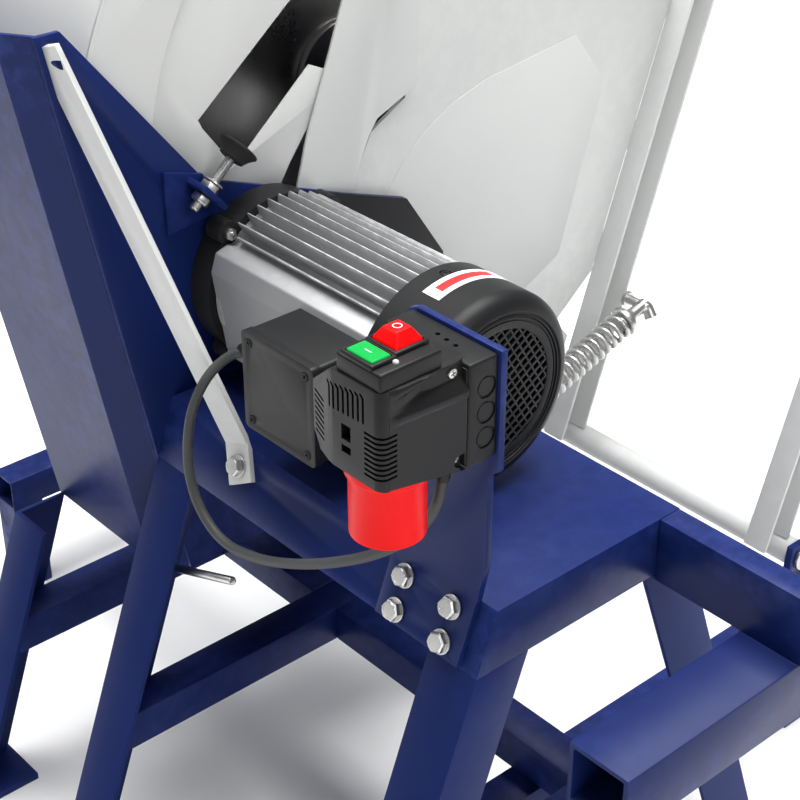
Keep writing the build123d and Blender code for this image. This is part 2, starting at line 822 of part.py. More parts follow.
def stop_button():
    z0 = SW_Z1 + 4 + PRESS + GAP
    body = box(RED[0], RED[1], RED[2], RED[3], z0, BLOCK_Z1 + 3.5)
    base = Pos((RED[0] + RED[1]) / 2, (RED[2] + RED[3]) / 2, BLOCK_Z1 + 3.5) * Rectangle(26, 26)
    top = Pos((RED[0] + RED[1]) / 2, (RED[2] + RED[3]) / 2, BLOCK_Z1 + 14) * Rectangle(14, 14)
    return body + loft([base, top], ruled=True)


def indicator():
    return box(LAMP[0], LAMP[1], LAMP[2], LAMP[3], BLOCK_Z1 - 2, BLOCK_Z1 + 0.8)


def plug_shroud():
    """Red inlet cup under the switch, open downwards."""
    z1 = SW_Z0
    body = rod((PLUG_X, PLUG_Y, PLUG_Z0), (0, 0, 1), PLUG_R, z1 - PLUG_Z0)
    body += rod((PLUG_X, PLUG_Y, z1 - PLUG_COLLAR_H), (0, 0, 1), PLUG_COLLAR_R, PLUG_COLLAR_H)
    body -= rod((PLUG_X, PLUG_Y, PLUG_Z0 - 1), (0, 0, 1), PLUG_R - 3, z1 - 8 - PLUG_Z0 + 1)
    for i in range(5):
        c = radians(i * 72 + 90)
        spot = (PLUG_X + 17 * cos(c), PLUG_Y + 17 * sin(c), z1 - 8.5)
        body -= rod(spot, (0, 0, 1), 3, 5)
    return body


def plug_pins():
    group = []
    for i in range(5):
        c = radians(i * 72 + 90)
        spot = (PLUG_X + 17 * cos(c), PLUG_Y + 17 * sin(c), PLUG_Z0 + 14)
        group.append(rod(spot, (0, 0, 1), 3, SW_Z0 - 5 - PLUG_Z0 - 14))
    return Compound(children=group)


# ================= buffer =================
BUF_D = (0, cos(radians(BUF_ANGLE)), sin(radians(BUF_ANGLE)))


def buf_at(along):
    return (BUF_X, BUF_Y + BUF_D[1] * along, BUF_Z + BUF_D[2] * along)


def stop_bracket():
    """Folded bracket on the case face that holds the buffer stud."""
    base = plate_yz([(-102, 64), (-48, 71), (-48, 95), (-62, 112), (-102, 124)], CASE_X1, 4)
    seat = Plane(origin=buf_at(-20), x_dir=(1, 0, 0), z_dir=BUF_D)
    shelf = extrude(seat * Pos(-1, 0) * Rectangle(34, 34), 5)
    shelf = shelf - box(-400, CASE_X1, -300, 300, -300, 300)
    body = base + shelf
    return body - rod(buf_at(-30), BUF_D, STUD_R + 0.3, 30)


def buffer_stud():
    body = rod(buf_at(-36), BUF_D, STUD_R, 36 + STUD_OUT)
    body += hexagon(buf_at(-15), BUF_D, 17, 8)
    lower = Vector(*BUF_D) * -1
    return body + hexagon(buf_at(-20), tuple(lower), 17, 8)


def rubber_buffer():
    """Rubber head that stops the cradle."""
    plane = Plane(origin=buf_at(STUD_OUT), z_dir=BUF_D)
    body = loft([plane * Circle(BUF_R - 5), plane.offset(BUF_LEN - 4) * Circle(BUF_R)])
    return body + rod(buf_at(STUD_OUT + BUF_LEN - 4), BUF_D, BUF_R, 4)


STUD_OUT = 20.0
BUF_FACE = STUD_OUT + BUF_LEN


# ================= arbor and blade =================
def arbor_pillar():
    """Upright plate in the case that carries the blade bearing."""
    x0 = -322.0
    points = [
        (ARBOR_Y - 90, RING_TOP),
        (ARBOR_Y + 30, RING_TOP),
        (ARBOR_Y + 34, ARBOR_Z + 10),
        (ARBOR_Y + 20, ARBOR_Z + 38),
        (ARBOR_Y - 20, ARBOR_Z + 38),
        (ARBOR_Y - 34, ARBOR_Z + 10),
    ]
    return plate_yz(points, x0, 8) - rod((x0 - 1, ARBOR_Y, ARBOR_Z), (1, 0, 0), 26, 10)


def bearing_housing():
    body = rod((-336, ARBOR_Y, ARBOR_Z), (1, 0, 0), 26, 36)
    body += rod((-314, ARBOR_Y, ARBOR_Z), (1, 0, 0), 40, 6)
    return body - rod((-340, ARBOR_Y, ARBOR_Z), (1, 0, 0), ARBOR_R + FIT, 44)


def arbor():
    return rod((-388, ARBOR_Y, ARBOR_Z), (1, 0, 0), ARBOR_R, 388 - 272)


def pulley(radius, y, z, bore):
    """Grooved belt pulley."""
    x0 = BELT_X - PULLEY_W / 2
    half = PULLEY_W / 2
    rim = [(x0, 0), (x0 + PULLEY_W, 0), (x0 + PULLEY_W, radius)]
    rim += [(x0 + PULLEY_W - 3, radius), (x0 + half + 2.5, radius - BELT_T)]
    rim += [(x0 + half - 2.5, radius - BELT_T), (x0 + 3, radius), (x0, radius)]
    plane = Plane(origin=(0, y, z), x_dir=(1, 0, 0), z_dir=(0, -1, 0))
    body = revolve(plane * make_face(Polyline(*rim, close=True)), Axis((0, y, z), (1, 0, 0)))
    return body - rod((x0 - 1, y, z), (1, 0, 0), bore, PULLEY_W + 2)


def drive_belt():
    """Belt between the two pulleys, seated in both grooves."""
    r0 = MOTOR_PULLEY_R - BELT_T + 0.4
    r1 = ARBOR_PULLEY_R - BELT_T + 0.4
    span = hypot(ARBOR_Y, ARBOR_Z)
    tilt = degrees(atan2(ARBOR_Z, ARBOR_Y))
    t = 7.0

    def loop_face(grow):
        a = r0 + grow
        b = r1 + grow
        off = (b - a) / span
        ang = radians(90) + asin_of(off)
        pa = (a * cos(ang), a * sin(ang))
        pb = (span + b * cos(ang), b * sin(ang))
        lines = Line(pa, pb)
        lines += ThreePointArc(pb, (span + b, 0), (pb[0], -pb[1]))
        lines += Line((pb[0], -pb[1]), (pa[0], -pa[1]))
        lines += ThreePointArc((pa[0], -pa[1]), (-a, 0), pa)
        return make_face(lines)

    ring = loop_face(t) - loop_face(0)
    plane = Plane(origin=(BELT_X - 2.2, 0, 0), x_dir=(0, 1, 0), z_dir=(1, 0, 0))
    return extrude(plane * Rot(0, 0, tilt) * ring, 4.4)


def asin_of(v):
    return atan2(v, sqrt(1 - v * v))


def saw_blade():
    """Toothed steel disc."""
    pts = []
    root = BLADE_R - 11
    for i in range(TEETH):
        a0 = 2 * 3.14159265 * i / TEETH
        step = 2 * 3.14159265 / TEETH
        for r, part in ((BLADE_R, 0.0), (BLADE_R - 2, 0.12), (root, 0.62), (root, 0.9)):
            pts.append((r * cos(a0 + step * part), r * sin(a0 + step * part)))
    plane = Plane(origin=(BLADE_X - BLADE_T / 2, ARBOR_Y, ARBOR_Z), x_dir=(0, 1, 0), z_dir=(1, 0, 0))
    body = extrude(plane * make_face(Polyline(*pts, close=True)), BLADE_T)
    return body - rod((BLADE_X - 5, ARBOR_Y, ARBOR_Z), (1, 0, 0), ARBOR_R, 10)


def blade_flange(x0):
    body = rod((x0, ARBOR_Y, ARBOR_Z), (1, 0, 0), FLANGE_R, 8)
    return body - rod((x0 - 1, ARBOR_Y, ARBOR_Z), (1, 0, 0), ARBOR_R, 10)


def arbor_nut():
    x0 = BLADE_X - BLADE_T / 2 - 8 - 16
    body = hexagon((x0, ARBOR_Y, ARBOR_Z), (1, 0, 0), 46, 16)
    return body - rod((x0 - 1, ARBOR_Y, ARBOR_Z), (1, 0, 0), ARBOR_R, 20)


def upper_guard():
    """Fixed light grey hood over the back and top of the blade."""
    y = ARBOR_Y
    z = ARBOR_Z
    r = BLADE_R + 25

    def arc_pts(radius, a0, a1, n):
        out = []
        for i in range(n + 1):
            a = radians(a0 + (a1 - a0) * i / n)
            out.append((y + radius * cos(a), z + radius * sin(a)))
        return out

    rim = arc_pts(r, 78, 170, 12) + arc_pts(r - 4, 170, 78, 12)
    strip = plate_yz(rim, HOOD_X0, HOOD_X1 - HOOD_X0)
    near = arc_pts(r, 78, 170, 12) + arc_pts(r - 70, 170, 100, 8)
    near += [(150, 330), (222, 236), (165, 198), (118, 158), (74, 107), (69, 97), (61, 79), (55, 62)]
    near += [(50, 40), (121, 35), (126, 44), (141, 88), (200, 150), (280, 330)]
    far = arc_pts(r, 78, 170, 12) + [(-170, 60), (60, 60), (148, 128), (280, 330)]
    return strip + plate_yz(near, HOOD_X1 - 3, 3) + plate_yz(far, HOOD_X0, 3)


HOOD_X1 = CASE_X1 - SHEET
HOOD_X0 = -436.0


# ================= cradle =================
def up_y(z):
    """Operator-side edge of the cradle uprights at a height."""
    return 453.0 + UP_SLOPE * (z + 360.0)


def cradle_rail():
    w = 3.0
    r = RAIL / 2
    body = box(RAIL_X0, RAIL_X1, PIVOT_Y - r, PIVOT_Y + r, PIVOT_Z - r, PIVOT_Z + r)
    hollow = box(RAIL_X0 + 4, RAIL_X1 - 4, PIVOT_Y - r + w, PIVOT_Y + r - w, PIVOT_Z - r + w, PIVOT_Z + r - w)
    body -= hollow
    return body - rod((RAIL_X0 - 1, PIVOT_Y, PIVOT_Z), (1, 0, 0), PIN_R, RAIL_X1 - RAIL_X0 + 2)


def hinge_pin():
    """Hinge pin through the cradle's lower rail."""
    over = 8.0 + 3.0
    body = rod((RAIL_X0 - over, PIVOT_Y, PIVOT_Z), (1, 0, 0), PIN_R, RAIL_X1 - RAIL_X0 + 2 * over)
    for x in (RAIL_X0 - over - 4, RAIL_X1 + over):
        body += rod((x, PIVOT_Y, PIVOT_Z), (1, 0, 0), PIN_R + 4, 4)
    return body


def upright(x0, open_side):
    """Cradle upright of channel section, leaning to the operator."""
    z0 = PIVOT_Z + RAIL / 2
    z1 = UP_TOP
    outer = [(up_y(z0) - UP_W, z0), (up_y(z0), z0), (up_y(z1), z1), (up_y(z1) - UP_W, z1)]
    w = 4.0
    inner = [(up_y(z0) - UP_W + w, z0 - 1), (up_y(z0) - w, z0 - 1), (up_y(z1) - w, z1 + 1), (up_y(z1) - UP_W + w, z1 + 1)]
    body = plate_yz(outer, x0, UP_T)
    cut_x = x0 + w if open_side > 0 else x0 - 1
    return body - plate_yz(inner, cut_x, UP_T - w + 1)


UP_XS = (GUARD_X + GUARD_T, 40.0, GUARD_FAR_X - UP_T, RAIL_X0 + 6)


GUARD = [
    (138, -96),
    (121, 35),
    (126, 44),
    (148, 88),
    (192, 112),
    (196, 216),
    (176, 226),
    (166, 285),
    (230, 340),
    (430, 330),
    (500, 265),
]


def cradle_guard():
    """Two side sheets that cover the blade at rest, their lower rim and the stop block."""
    sheet = GUARD + [
        (up_y(130) - UP_W, 130),
        (up_y(-165) - UP_W, -165),
        (421, -212),
        (240, -190),
    ]
    body = plate_yz(sheet, GUARD_X, GUARD_T) + plate_yz(sheet, GUARD_FAR_X, GUARD_T)
    rim = [(up_y(-165) - UP_W, -165), (421, -212), (423, -215), (up_y(-165) - UP_W + 2, -168)]
    body += plate_yz(rim, GUARD_FAR_X, GUARD_X - GUARD_FAR_X + GUARD_T)
    for x0 in (GUARD_X, GUARD_FAR_X):
        for z in (120, -20, -145):
            y = up_y(z) - UP_W
            body += box(x0, x0 + GUARD_T, y - 20, y + 30, z - 15, z + 15)
    return body + stop_lug()


def vee(x0):
    """Toothed vee that holds the log."""
    inner = [(405, 385), (425, 395), (452, 352), (470, 330), (560, 235), (640, 270)]
    pts = [(up_y(200) - UP_W + 6, 200), (up_y(200) - 4, 200), (690, 318), (745, 455), (715, 468)]
    teeth = []
    start = (715.0, 468.0)
    end = (572.0, 262.0)
    n = 7
    for i in range(1, n):
        f = i / n
        y = start[0] + (end[0] - start[0]) * f
        z = start[1] + (end[1] - start[1]) * f
        teeth.append((y + 9, z - 4))
        teeth.append((y - 6, z - 4))
    left_end = (418.0, 395.0)
    back = []
    for i in range(0, n):
        f = i / n
        y = end[0] + (left_end[0] - end[0]) * f
        z = end[1] + (left_end[1] - end[1]) * f
        back.append((y - 4, z - 8))
        back.append((y - 4, z + 6))
    pts = pts + teeth + [end] + back + [left_end, (398, 372), (500, 265)]
    return plate_yz(pts, x0, 6)


def cradle_handle():
    y = 735.6
    z = 474.3
    return rod((RAIL_X0 - 10, y, z), (1, 0, 0), 14, RAIL_X1 - RAIL_X0 - 10)


def log_stop():
    """Sliding end stop on the cradle's outer arm."""
    body = box(RAIL_X0 + 60, RAIL_X0 + 66, 560, 720, 300, 440)
    return body


def stop_lug():
    """Block on the cradle that meets the rubber buffer."""
    a = radians(-SWING)
    fy, fz = BUF_Y + BUF_D[1] * BUF_FACE, BUF_Z + BUF_D[2] * BUF_FACE
    ry = fy - PIVOT_Y
    rz = fz - PIVOT_Z
    y = PIVOT_Y + ry * cos(a) - rz * sin(a)
    z = PIVOT_Z + ry * sin(a) + rz * cos(a)
    face = radians(BUF_ANGLE - SWING)
    plane = Plane(origin=(GUARD_X + GUARD_T, y, z), x_dir=(0, cos(face), sin(face)), z_dir=(1, 0, 0))
    return extrude(plane * Pos(3, 0) * Rectangle(6, 46), BUF_X + 22 - GUARD_X - GUARD_T)


def spring_line():
    a = Vector(SPR_X, *SPR_A)
    b = Vector(SPR_X, *SPR_B)
    return a, b, (b - a).normalized()


def spring():
    """Counterbalance spring between the base and the cradle."""
    a, b, d = spring_line()
    length = (b - a).length
    body = tube(tuple(a + d * 16), tuple(d), SPR_R + SPR_WIRE, SPR_R - SPR_WIRE, length - 32)
    for end, way in ((a, d), (b, d * -1)):
        plane = Plane(origin=tuple(end), x_dir=(0, d.Y, d.Z), z_dir=(1, 0, 0))
        ring = extrude(plane * (Circle(10) - Circle(5.4)), SPR_WIRE, both=True)
        body += ring
        body += rod(tuple(end + way * 7), tuple(way), SPR_WIRE, 12)
        body += rod(tuple(end + way * 16), tuple(way), SPR_R, 2)
    return body


def spring_anchor():
    """Lug on the far rear leg with the spring's lower bolt."""
    points = [
        (far_y(-270), -270),
        (far_y(-322), -322),
        (SPR_A[0] + 4, SPR_A[1] - 12),
        (SPR_A[0] + 12, SPR_A[1]),
        (SPR_A[0] + 4, SPR_A[1] + 12),
    ]
    body = plate_yz(points, SPR_X - SPR_WIRE - 7, 6)
    body += rod((SPR_X - SPR_WIRE - 7, *SPR_A), (1, 0, 0), 5, 22)
    return body + rod((SPR_X + SPR_WIRE + 4, *SPR_A), (1, 0, 0), 9, 3)


def spring_eye():
    """Bolt on the upright that holds the spring's upper hook, with its adjusting screw."""
    x0 = GUARD_X + GUARD_T + UP_T
    body = rod((x0, *SPR_B), (1, 0, 0), 5, SPR_X + 12 - x0)
    body += hexagon((SPR_X + SPR_WIRE + 4, *SPR_B), (1, 0, 0), 17, 7)
    body += rod((x0, *SPR_B), (1, 0, 0), 9, SPR_X - SPR_WIRE - 1 - x0)
    d = spring_line()[2]
    return body + rod((SPR_X + SPR_WIRE + 8, *SPR_B), tuple(d), 4, 34)


def lock_pin():
    """Loose steel pin parked in the near leg."""
    start = (PLAT_X0 + SHEET, near_y(-225) + 14, -275)
    cut = rod(start, (0.93, 0, 0.37), 4, 130)
    return cut - box(-400, PLAT_X0 + SHEET, -400, 400, -500, 500)


def outrigger():
    """Arm beyond the platform with a cross beam under it."""
    y1 = PLAT_Y1
    y0 = y1 - 25
    z0 = PLAT_TOP - ARM_DEEP
    x1 = PLAT_X1 + ARM_REACH
    body = box(PLAT_X1, x1, y0, y1, z0, PLAT_TOP)
    body -= box(PLAT_X1 - 1, x1 + 1, y0 + SHEET, y1 + 1, z0 - 1, PLAT_TOP - SHEET)
    beam = box(x1 - 118, x1 - 58, -120, y1, z0 - 60, z0)
    return body + (beam - box(x1 - 118 + SHEET, x1 - 58 - SHEET, -121, y1 + 1, z0 - 60 + SHEET, z0 - SHEET))


def group(*pieces):
    return Compound(children=[p for p in pieces])


def build():
    """All pieces by node name, drawn about the motor axis."""
    legs = [angle_leg(x0, side, high) for x0, side, high in LEGS.values()]
    arm_y = -60.0
    post_z = RING_TOP - 2 * TUBE
    arm_xs = (RAIL_X1 + 3 + 4 - TUBE / 2, RAIL_X0 - 3 - 4 - TUBE / 2)
    arms = []
    for x in arm_xs:
        arm = pivot_arm(x, arm_y)
        for y in (arm_y, PIVOT_Y - 10):
            arm += square_tube(x, x + TUBE, y, y + TUBE, FLOOR, post_z, "z")
        arms.append(arm)
    ring_y = 45.0
    long_tubes = [
        long_tube(ring_y, RING_X_B + TUBE, RING_X_A),
        long_tube(ring_y, RING_X_C + TUBE, RING_X_B),
        long_tube(ring_y, arm_xs[1], RING_X_C),
    ]
    parts = {
        "platform": platform(),
        "platform_legs": group(*legs),
        "case_legs": group(case_prop(OUT_LEG_X, -1), case_prop(OUT_LEG_X, 1)),
        "cross_tubes": group(cross_tube(RING_X_A), cross_tube(RING_X_B), cross_tube(RING_X_C)),
        "long_tubes": group(*long_tubes),
        "pivot_arms": group(*arms),
        "pivot_lugs": group(pivot_lug(RAIL_X1 + 3), pivot_lug(RAIL_X0 - 3 - 8)),
        "outrigger": outrigger(),
        "blade_case": blade_case(),
        "back_plate": back_plate(),
        "dark_cover": dark_cover(),
        "brace_strap": brace_strap(),
        "frame_bolts": frame_bolts(),
        "lock_pin": lock_pin(),
        "stop_bracket": stop_bracket(),
        "buffer_stud": buffer_stud(),
        "rubber_buffer": rubber_buffer(),
        "arbor_pillar": arbor_pillar(),
        "bearing_housing": bearing_housing(),
        "drive_belt": drive_belt(),
        "upper_guard": upper_guard(),
        "spring": spring(),
        "spring_anchor": spring_anchor(),
        "motor_housing": motor_housing(),
        "drive_shield": drive_shield(),
        "tie_bolts": tie_bolts(),
        "fan_cowl": cowl_with_seats(fan_cowl()),
        "cowl_grille": cowl_grille(),
        "cowl_screws": cowl_screws(),
        "turning_label": turning_label(),
        "terminal_base": terminal_base(),
        "terminal_lid": terminal_lid(),
        "terminal_screws": terminal_screws(),
        "terminal_gland": terminal_gland(),
        "motor_cable": motor_cable(),
        "switch_plate": switch_plate(),
        "switch_rear": switch_rear(),
        "switch_cover": switch_cover() + cover_ribs(),
        "cover_screws": cover_screws(),
        "button_block": button_block(),
        "indicator": indicator(),
        "start_button": start_button(),
        "stop_button": stop_button(),
        "plug_shroud": plug_shroud(),
        "plug_pins": plug_pins(),
        "rotor": rotor(),
        "cooling_fan": cooling_fan(),
        "motor_pulley": pulley(MOTOR_PULLEY_R, 0, 0, SHAFT_R),
        "arbor": arbor(),
        "arbor_pulley": pulley(ARBOR_PULLEY_R, ARBOR_Y, ARBOR_Z, ARBOR_R),
        "saw_blade": saw_blade(),
        "blade_flanges": group(
            blade_flange(BLADE_X + BLADE_T / 2), blade_flange(BLADE_X - BLADE_T / 2 - 8)
        ),
        "arbor_nut": arbor_nut(),
        "cradle_rail": cradle_rail(),
        "hinge_pin": hinge_pin(),
        "uprights": group(*[upright(x, w) for x, w in zip(UP_XS, (1, 1, -1, -1))]),
        "cradle_guard": cradle_guard(),
        "log_vees": group(*[vee(x) for x in VEE_XS]),
        "cradle_handle": cradle_handle(),
        "spring_eye": spring_eye(),
    }
    return parts


VEE_XS = (UP_XS[0] + UP_T, UP_XS[1] + UP_T, UP_XS[2] - 6, UP_XS[3] - 6)


def stand(parts):
    """Shift that puts the middle of the footprint at the origin and the feet on z = 0."""
    low = [1e9, 1e9, 1e9]
    high = [-1e9, -1e9, -1e9]
    for piece in parts.values():
        b = piece.bounding_box()
        low = [min(low[0], b.min.X), min(low[1], b.min.Y), min(low[2], b.min.Z)]
        high = [max(high[0], b.max.X), max(high[1], b.max.Y), max(high[2], b.max.Z)]
    return (-(low[0] + high[0]) / 2, -(low[1] + high[1]) / 2, -low[2])


if __name__ == "__main__":
    os.makedirs("parts", exist_ok=True)
    PARTS = build()
    SHIFT = stand(PARTS)
    for name, piece in PARTS.items():
        export_step(Pos(*SHIFT) * piece, "parts/" + name + ".step")
    print("nodes", len(PARTS), "shift", [round(v, 4) for v in SHIFT])
    print("cable corner radii", [round(r, 1) for r in cable_radii()])
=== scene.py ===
"""Looks of the rocking log saw: paint, metal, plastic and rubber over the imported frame."""
import json
from math import cos, pi, radians, sin

import bmesh
import bpy
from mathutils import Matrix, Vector
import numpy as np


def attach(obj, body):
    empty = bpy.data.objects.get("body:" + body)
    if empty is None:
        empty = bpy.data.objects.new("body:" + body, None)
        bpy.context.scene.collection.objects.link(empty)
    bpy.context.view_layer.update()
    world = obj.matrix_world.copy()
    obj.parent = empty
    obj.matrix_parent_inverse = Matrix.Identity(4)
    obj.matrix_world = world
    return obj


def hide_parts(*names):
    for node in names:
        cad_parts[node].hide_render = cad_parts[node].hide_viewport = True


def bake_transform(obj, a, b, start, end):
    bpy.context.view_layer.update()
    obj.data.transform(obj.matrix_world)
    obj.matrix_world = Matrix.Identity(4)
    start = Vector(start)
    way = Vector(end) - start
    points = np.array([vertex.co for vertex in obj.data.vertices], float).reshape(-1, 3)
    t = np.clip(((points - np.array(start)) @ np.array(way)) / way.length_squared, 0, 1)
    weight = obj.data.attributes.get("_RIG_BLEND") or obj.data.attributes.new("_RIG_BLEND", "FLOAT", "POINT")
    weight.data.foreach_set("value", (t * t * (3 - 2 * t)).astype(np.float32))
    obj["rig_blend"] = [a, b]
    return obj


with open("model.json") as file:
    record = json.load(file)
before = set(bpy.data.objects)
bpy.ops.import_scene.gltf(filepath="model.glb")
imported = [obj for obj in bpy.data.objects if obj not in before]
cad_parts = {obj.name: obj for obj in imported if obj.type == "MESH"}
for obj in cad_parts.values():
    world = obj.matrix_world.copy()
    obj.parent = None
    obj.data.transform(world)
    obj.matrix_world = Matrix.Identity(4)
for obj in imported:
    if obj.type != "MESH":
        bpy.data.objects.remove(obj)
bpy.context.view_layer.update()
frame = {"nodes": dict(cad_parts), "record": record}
MM = 0.001

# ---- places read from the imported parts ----
SLOT_OF = {s["node"]: s["material_slot"] for s in frame["record"]["subparts"]}
JOINTS = {j["name"]: j for j in frame["record"]["behaviour"]["joints"]}
BODIES = frame["record"]["behaviour"]["bodies"]
AXIS = Vector(JOINTS["motor_spin"]["pos_m"])          # a point on the motor axis
ARBOR = Vector(JOINTS["blade_spin"]["pos_m"])
BODY_OF = {n: b for b, names in BODIES.items() for n in names}

# ---- sizes the looks are drawn with, in metres ----
COWL_R = 88 * MM
COWL_SCREW_TURNS = (90, 210, 330)
SKIRT_LEAN = 0.37
SKIRT_OUT = Vector((0, -1, SKIRT_LEAN)).normalized()
BOLT_AF = 16 * MM
CABLE_D = 9 * MM

# ---- places in millimetres from the motor axis ----
COVER_X = 186.5                                       # right side of the switch case
SEAM_Y = -143.4                                       # where the switch cover meets the back half
COVER_SCREWS = ((-153.8, 127.3), (-150.3, 55.5))      # (y, z)
KNOCKOUTS = (108, 87, 66)                             # heights
CORNER_SLOTS = [69.5 + 4.2 * i for i in range(9)]     # heights
BUTTON_WELLS = ((143.5, 172.5, -220.5, -201.5), (142.5, 169.5, -196.5, -169.5))    # x0, x1, y0, y1
BUTTON_FRAMES = ((143.4, 172.6, -220.6, -201.4), (142.4, 169.6, -196.6, -169.4))
HOOD_CENTRE = (190, 110)                              # (y, z)
HOOD_R = 375
HINGE = (455, -375)                                   # (y, z)
SPRING_LOW = (-205, 222, -298)
SPRING_HIGH = (-205, 501, -208)


def at(x, y, z):
    """Point given in millimetres from the motor axis."""
    return AXIS + Vector((x, y, z)) * MM


# ================= node helpers =================
def socket_input(group, name, default, kind="NodeSocketFloat"):
    s = group.interface.new_socket(name=name, in_out="INPUT", socket_type=kind)
    s.default_value = default
    return s


def socket_output(group, name, kind="NodeSocketFloat"):
    return group.interface.new_socket(name=name, in_out="OUTPUT", socket_type=kind)


class Tree:
    """Short way to add and join nodes."""

    def __init__(self, tree):
        self.tree = tree

    def add(self, kind, **values):
        node = self.tree.nodes.new(kind)
        for key, value in values.items():
            setattr(node, key, value)
        return node

    def join(self, a, b):
        self.tree.links.new(a, b)

    def wire(self, a, output, b, entry):
        self.join(a.outputs[output], b.inputs[entry])

    def put(self, node, **values):
        for key, value in values.items():
            node.inputs[key.replace("_", " ")].default_value = value
        return node


def effect_group(name):
    group = bpy.data.node_groups.new(name, "ShaderNodeTree")
    return group, Tree(group)


def grain_group():
    """Cloudy variation with a finer grain inside it, about 0 to 1."""
    group, t = effect_group("surface_grain")
    socket_input(group, "Cloud Scale", 8.0)
    socket_input(group, "Grain Scale", 400.0)
    socket_input(group, "Grain Share", 0.4)
    socket_output(group, "Mask")
    socket_output(group, "Grain")
    a = t.add("NodeGroupInput")
    b = t.add("NodeGroupOutput")
    pos = t.add("ShaderNodeTexCoord")
    cloud = t.put(t.add("ShaderNodeTexNoise"), Detail=4.0, Roughness=0.55)
    fine = t.put(t.add("ShaderNodeTexNoise"), Detail=3.0, Roughness=0.6)
    mix = t.add("ShaderNodeMix", data_type="FLOAT")
    t.wire(pos, "Object", cloud, "Vector")
    t.wire(pos, "Object", fine, "Vector")
    t.wire(a, "Cloud Scale", cloud, "Scale")
    t.wire(a, "Grain Scale", fine, "Scale")
    t.wire(a, "Grain Share", mix, 0)
    t.wire(cloud, "Fac", mix, 2)
    t.wire(fine, "Fac", mix, 3)
    t.wire(mix, 0, b, "Mask")
    t.wire(fine, "Fac", b, "Grain")
    return group


def wear_and_highlight_group():
    """Mask of outer edges, broken up by noise, for rubbed wear and a painted edge highlight."""
    group, t = effect_group("edge_wear_and_highlight")
    socket_input(group, "Start", 0.56)
    socket_input(group, "Width", 0.08)
    socket_input(group, "Break Scale", 60.0)
    socket_output(group, "Mask")
    a = t.add("NodeGroupInput")
    b = t.add("NodeGroupOutput")
    geo = t.add("ShaderNodeNewGeometry")
    pos = t.add("ShaderNodeTexCoord")
    noise = t.put(t.add("ShaderNodeTexNoise"), Detail=5.0, Roughness=0.65)
    end = t.add("ShaderNodeMath", operation="ADD")
    edge = t.add("ShaderNodeMapRange")
    broken = t.put(t.add("ShaderNodeMapRange"), From_Min=0.42, From_Max=0.62)
    both = t.add("ShaderNodeMath", operation="MULTIPLY")
    t.wire(a, "Start", end, 0)
    t.wire(a, "Width", end, 1)
    t.wire(geo, "Pointiness", edge, "Value")
    t.wire(a, "Start", edge, "From Min")
    t.wire(end, 0, edge, "From Max")
    t.wire(pos, "Object", noise, "Vector")
    t.wire(a, "Break Scale", noise, "Scale")
    t.wire(noise, "Fac", broken, "Value")
    t.wire(edge, "Result", both, 0)
    t.wire(broken, "Result", both, 1)
    t.wire(both, 0, b, "Mask")
    return group


def dust_group():
    """Mask of fine dust on faces that look up."""
    group, t = effect_group("settled_dust")
    socket_input(group, "Amount", 0.2)
    socket_input(group, "Patch Scale", 14.0)
    socket_output(group, "Mask")
    a = t.add("NodeGroupInput")
    b = t.add("NodeGroupOutput")
    geo = t.add("ShaderNodeNewGeometry")
    split = t.add("ShaderNodeSeparateXYZ")
    up = t.put(t.add("ShaderNodeMapRange"), From_Min=0.5, From_Max=1.0)
    pos = t.add("ShaderNodeTexCoord")
    noise = t.put(t.add("ShaderNodeTexNoise"), Detail=6.0, Roughness=0.7)
    patch = t.put(t.add("ShaderNodeMapRange"), From_Min=0.35, From_Max=0.75)
    one = t.add("ShaderNodeMath", operation="MULTIPLY")
    two = t.add("ShaderNodeMath", operation="MULTIPLY")
    t.wire(geo, "Normal", split, 0)
    t.wire(split, "Z", up, "Value")
    t.wire(pos, "Object", noise, "Vector")
    t.wire(a, "Patch Scale", noise, "Scale")
    t.wire(noise, "Fac", patch, "Value")
    t.wire(up, "Result", one, 0)
    t.wire(patch, "Result", one, 1)
    t.wire(one, 0, two, 0)
    t.wire(a, "Amount", two, 1)
    t.wire(two, 0, b, "Mask")
    return group


GRAIN = grain_group()
WEAR_AND_HIGHLIGHT = wear_and_highlight_group()
DUST = dust_group()


def use_group(t, group, **values):
    node = t.add("ShaderNodeGroup")
    node.node_tree = group
    return t.put(node, **values)


def colour_mix(t, mask, low, high):
    """Colour that runs from low to high with a mask; either end may be a socket."""
    mix = t.add("ShaderNodeMix", data_type="RGBA")
    t.join(mask, mix.inputs[0])
    for socket, value in ((mix.inputs[6], low), (mix.inputs[7], high)):
        if isinstance(value, tuple):
            socket.default_value = (*value, 1)
        else:
            t.join(value, socket)
    return mix.outputs[2]


def ranged(t, value, low, high, start=0.3, stop=0.7):
    node = t.put(t.add("ShaderNodeMapRange"), From_Min=start, From_Max=stop, To_Min=low, To_Max=high)
    t.join(value, node.inputs["Value"])
    return node.outputs["Result"]


def bumped(t, shader, height, strength, distance):
    bump = t.put(t.add("ShaderNodeBump"), Strength=strength, Distance=distance)
    t.join(height, bump.inputs["Height"])
    t.wire(bump, "Normal", shader, "Normal")


def fresh(name):
    mat = bpy.data.materials.new(name)
    mat.use_nodes = True
    t = Tree(mat.node_tree)
    return mat, t, mat.node_tree.nodes["Principled BSDF"]


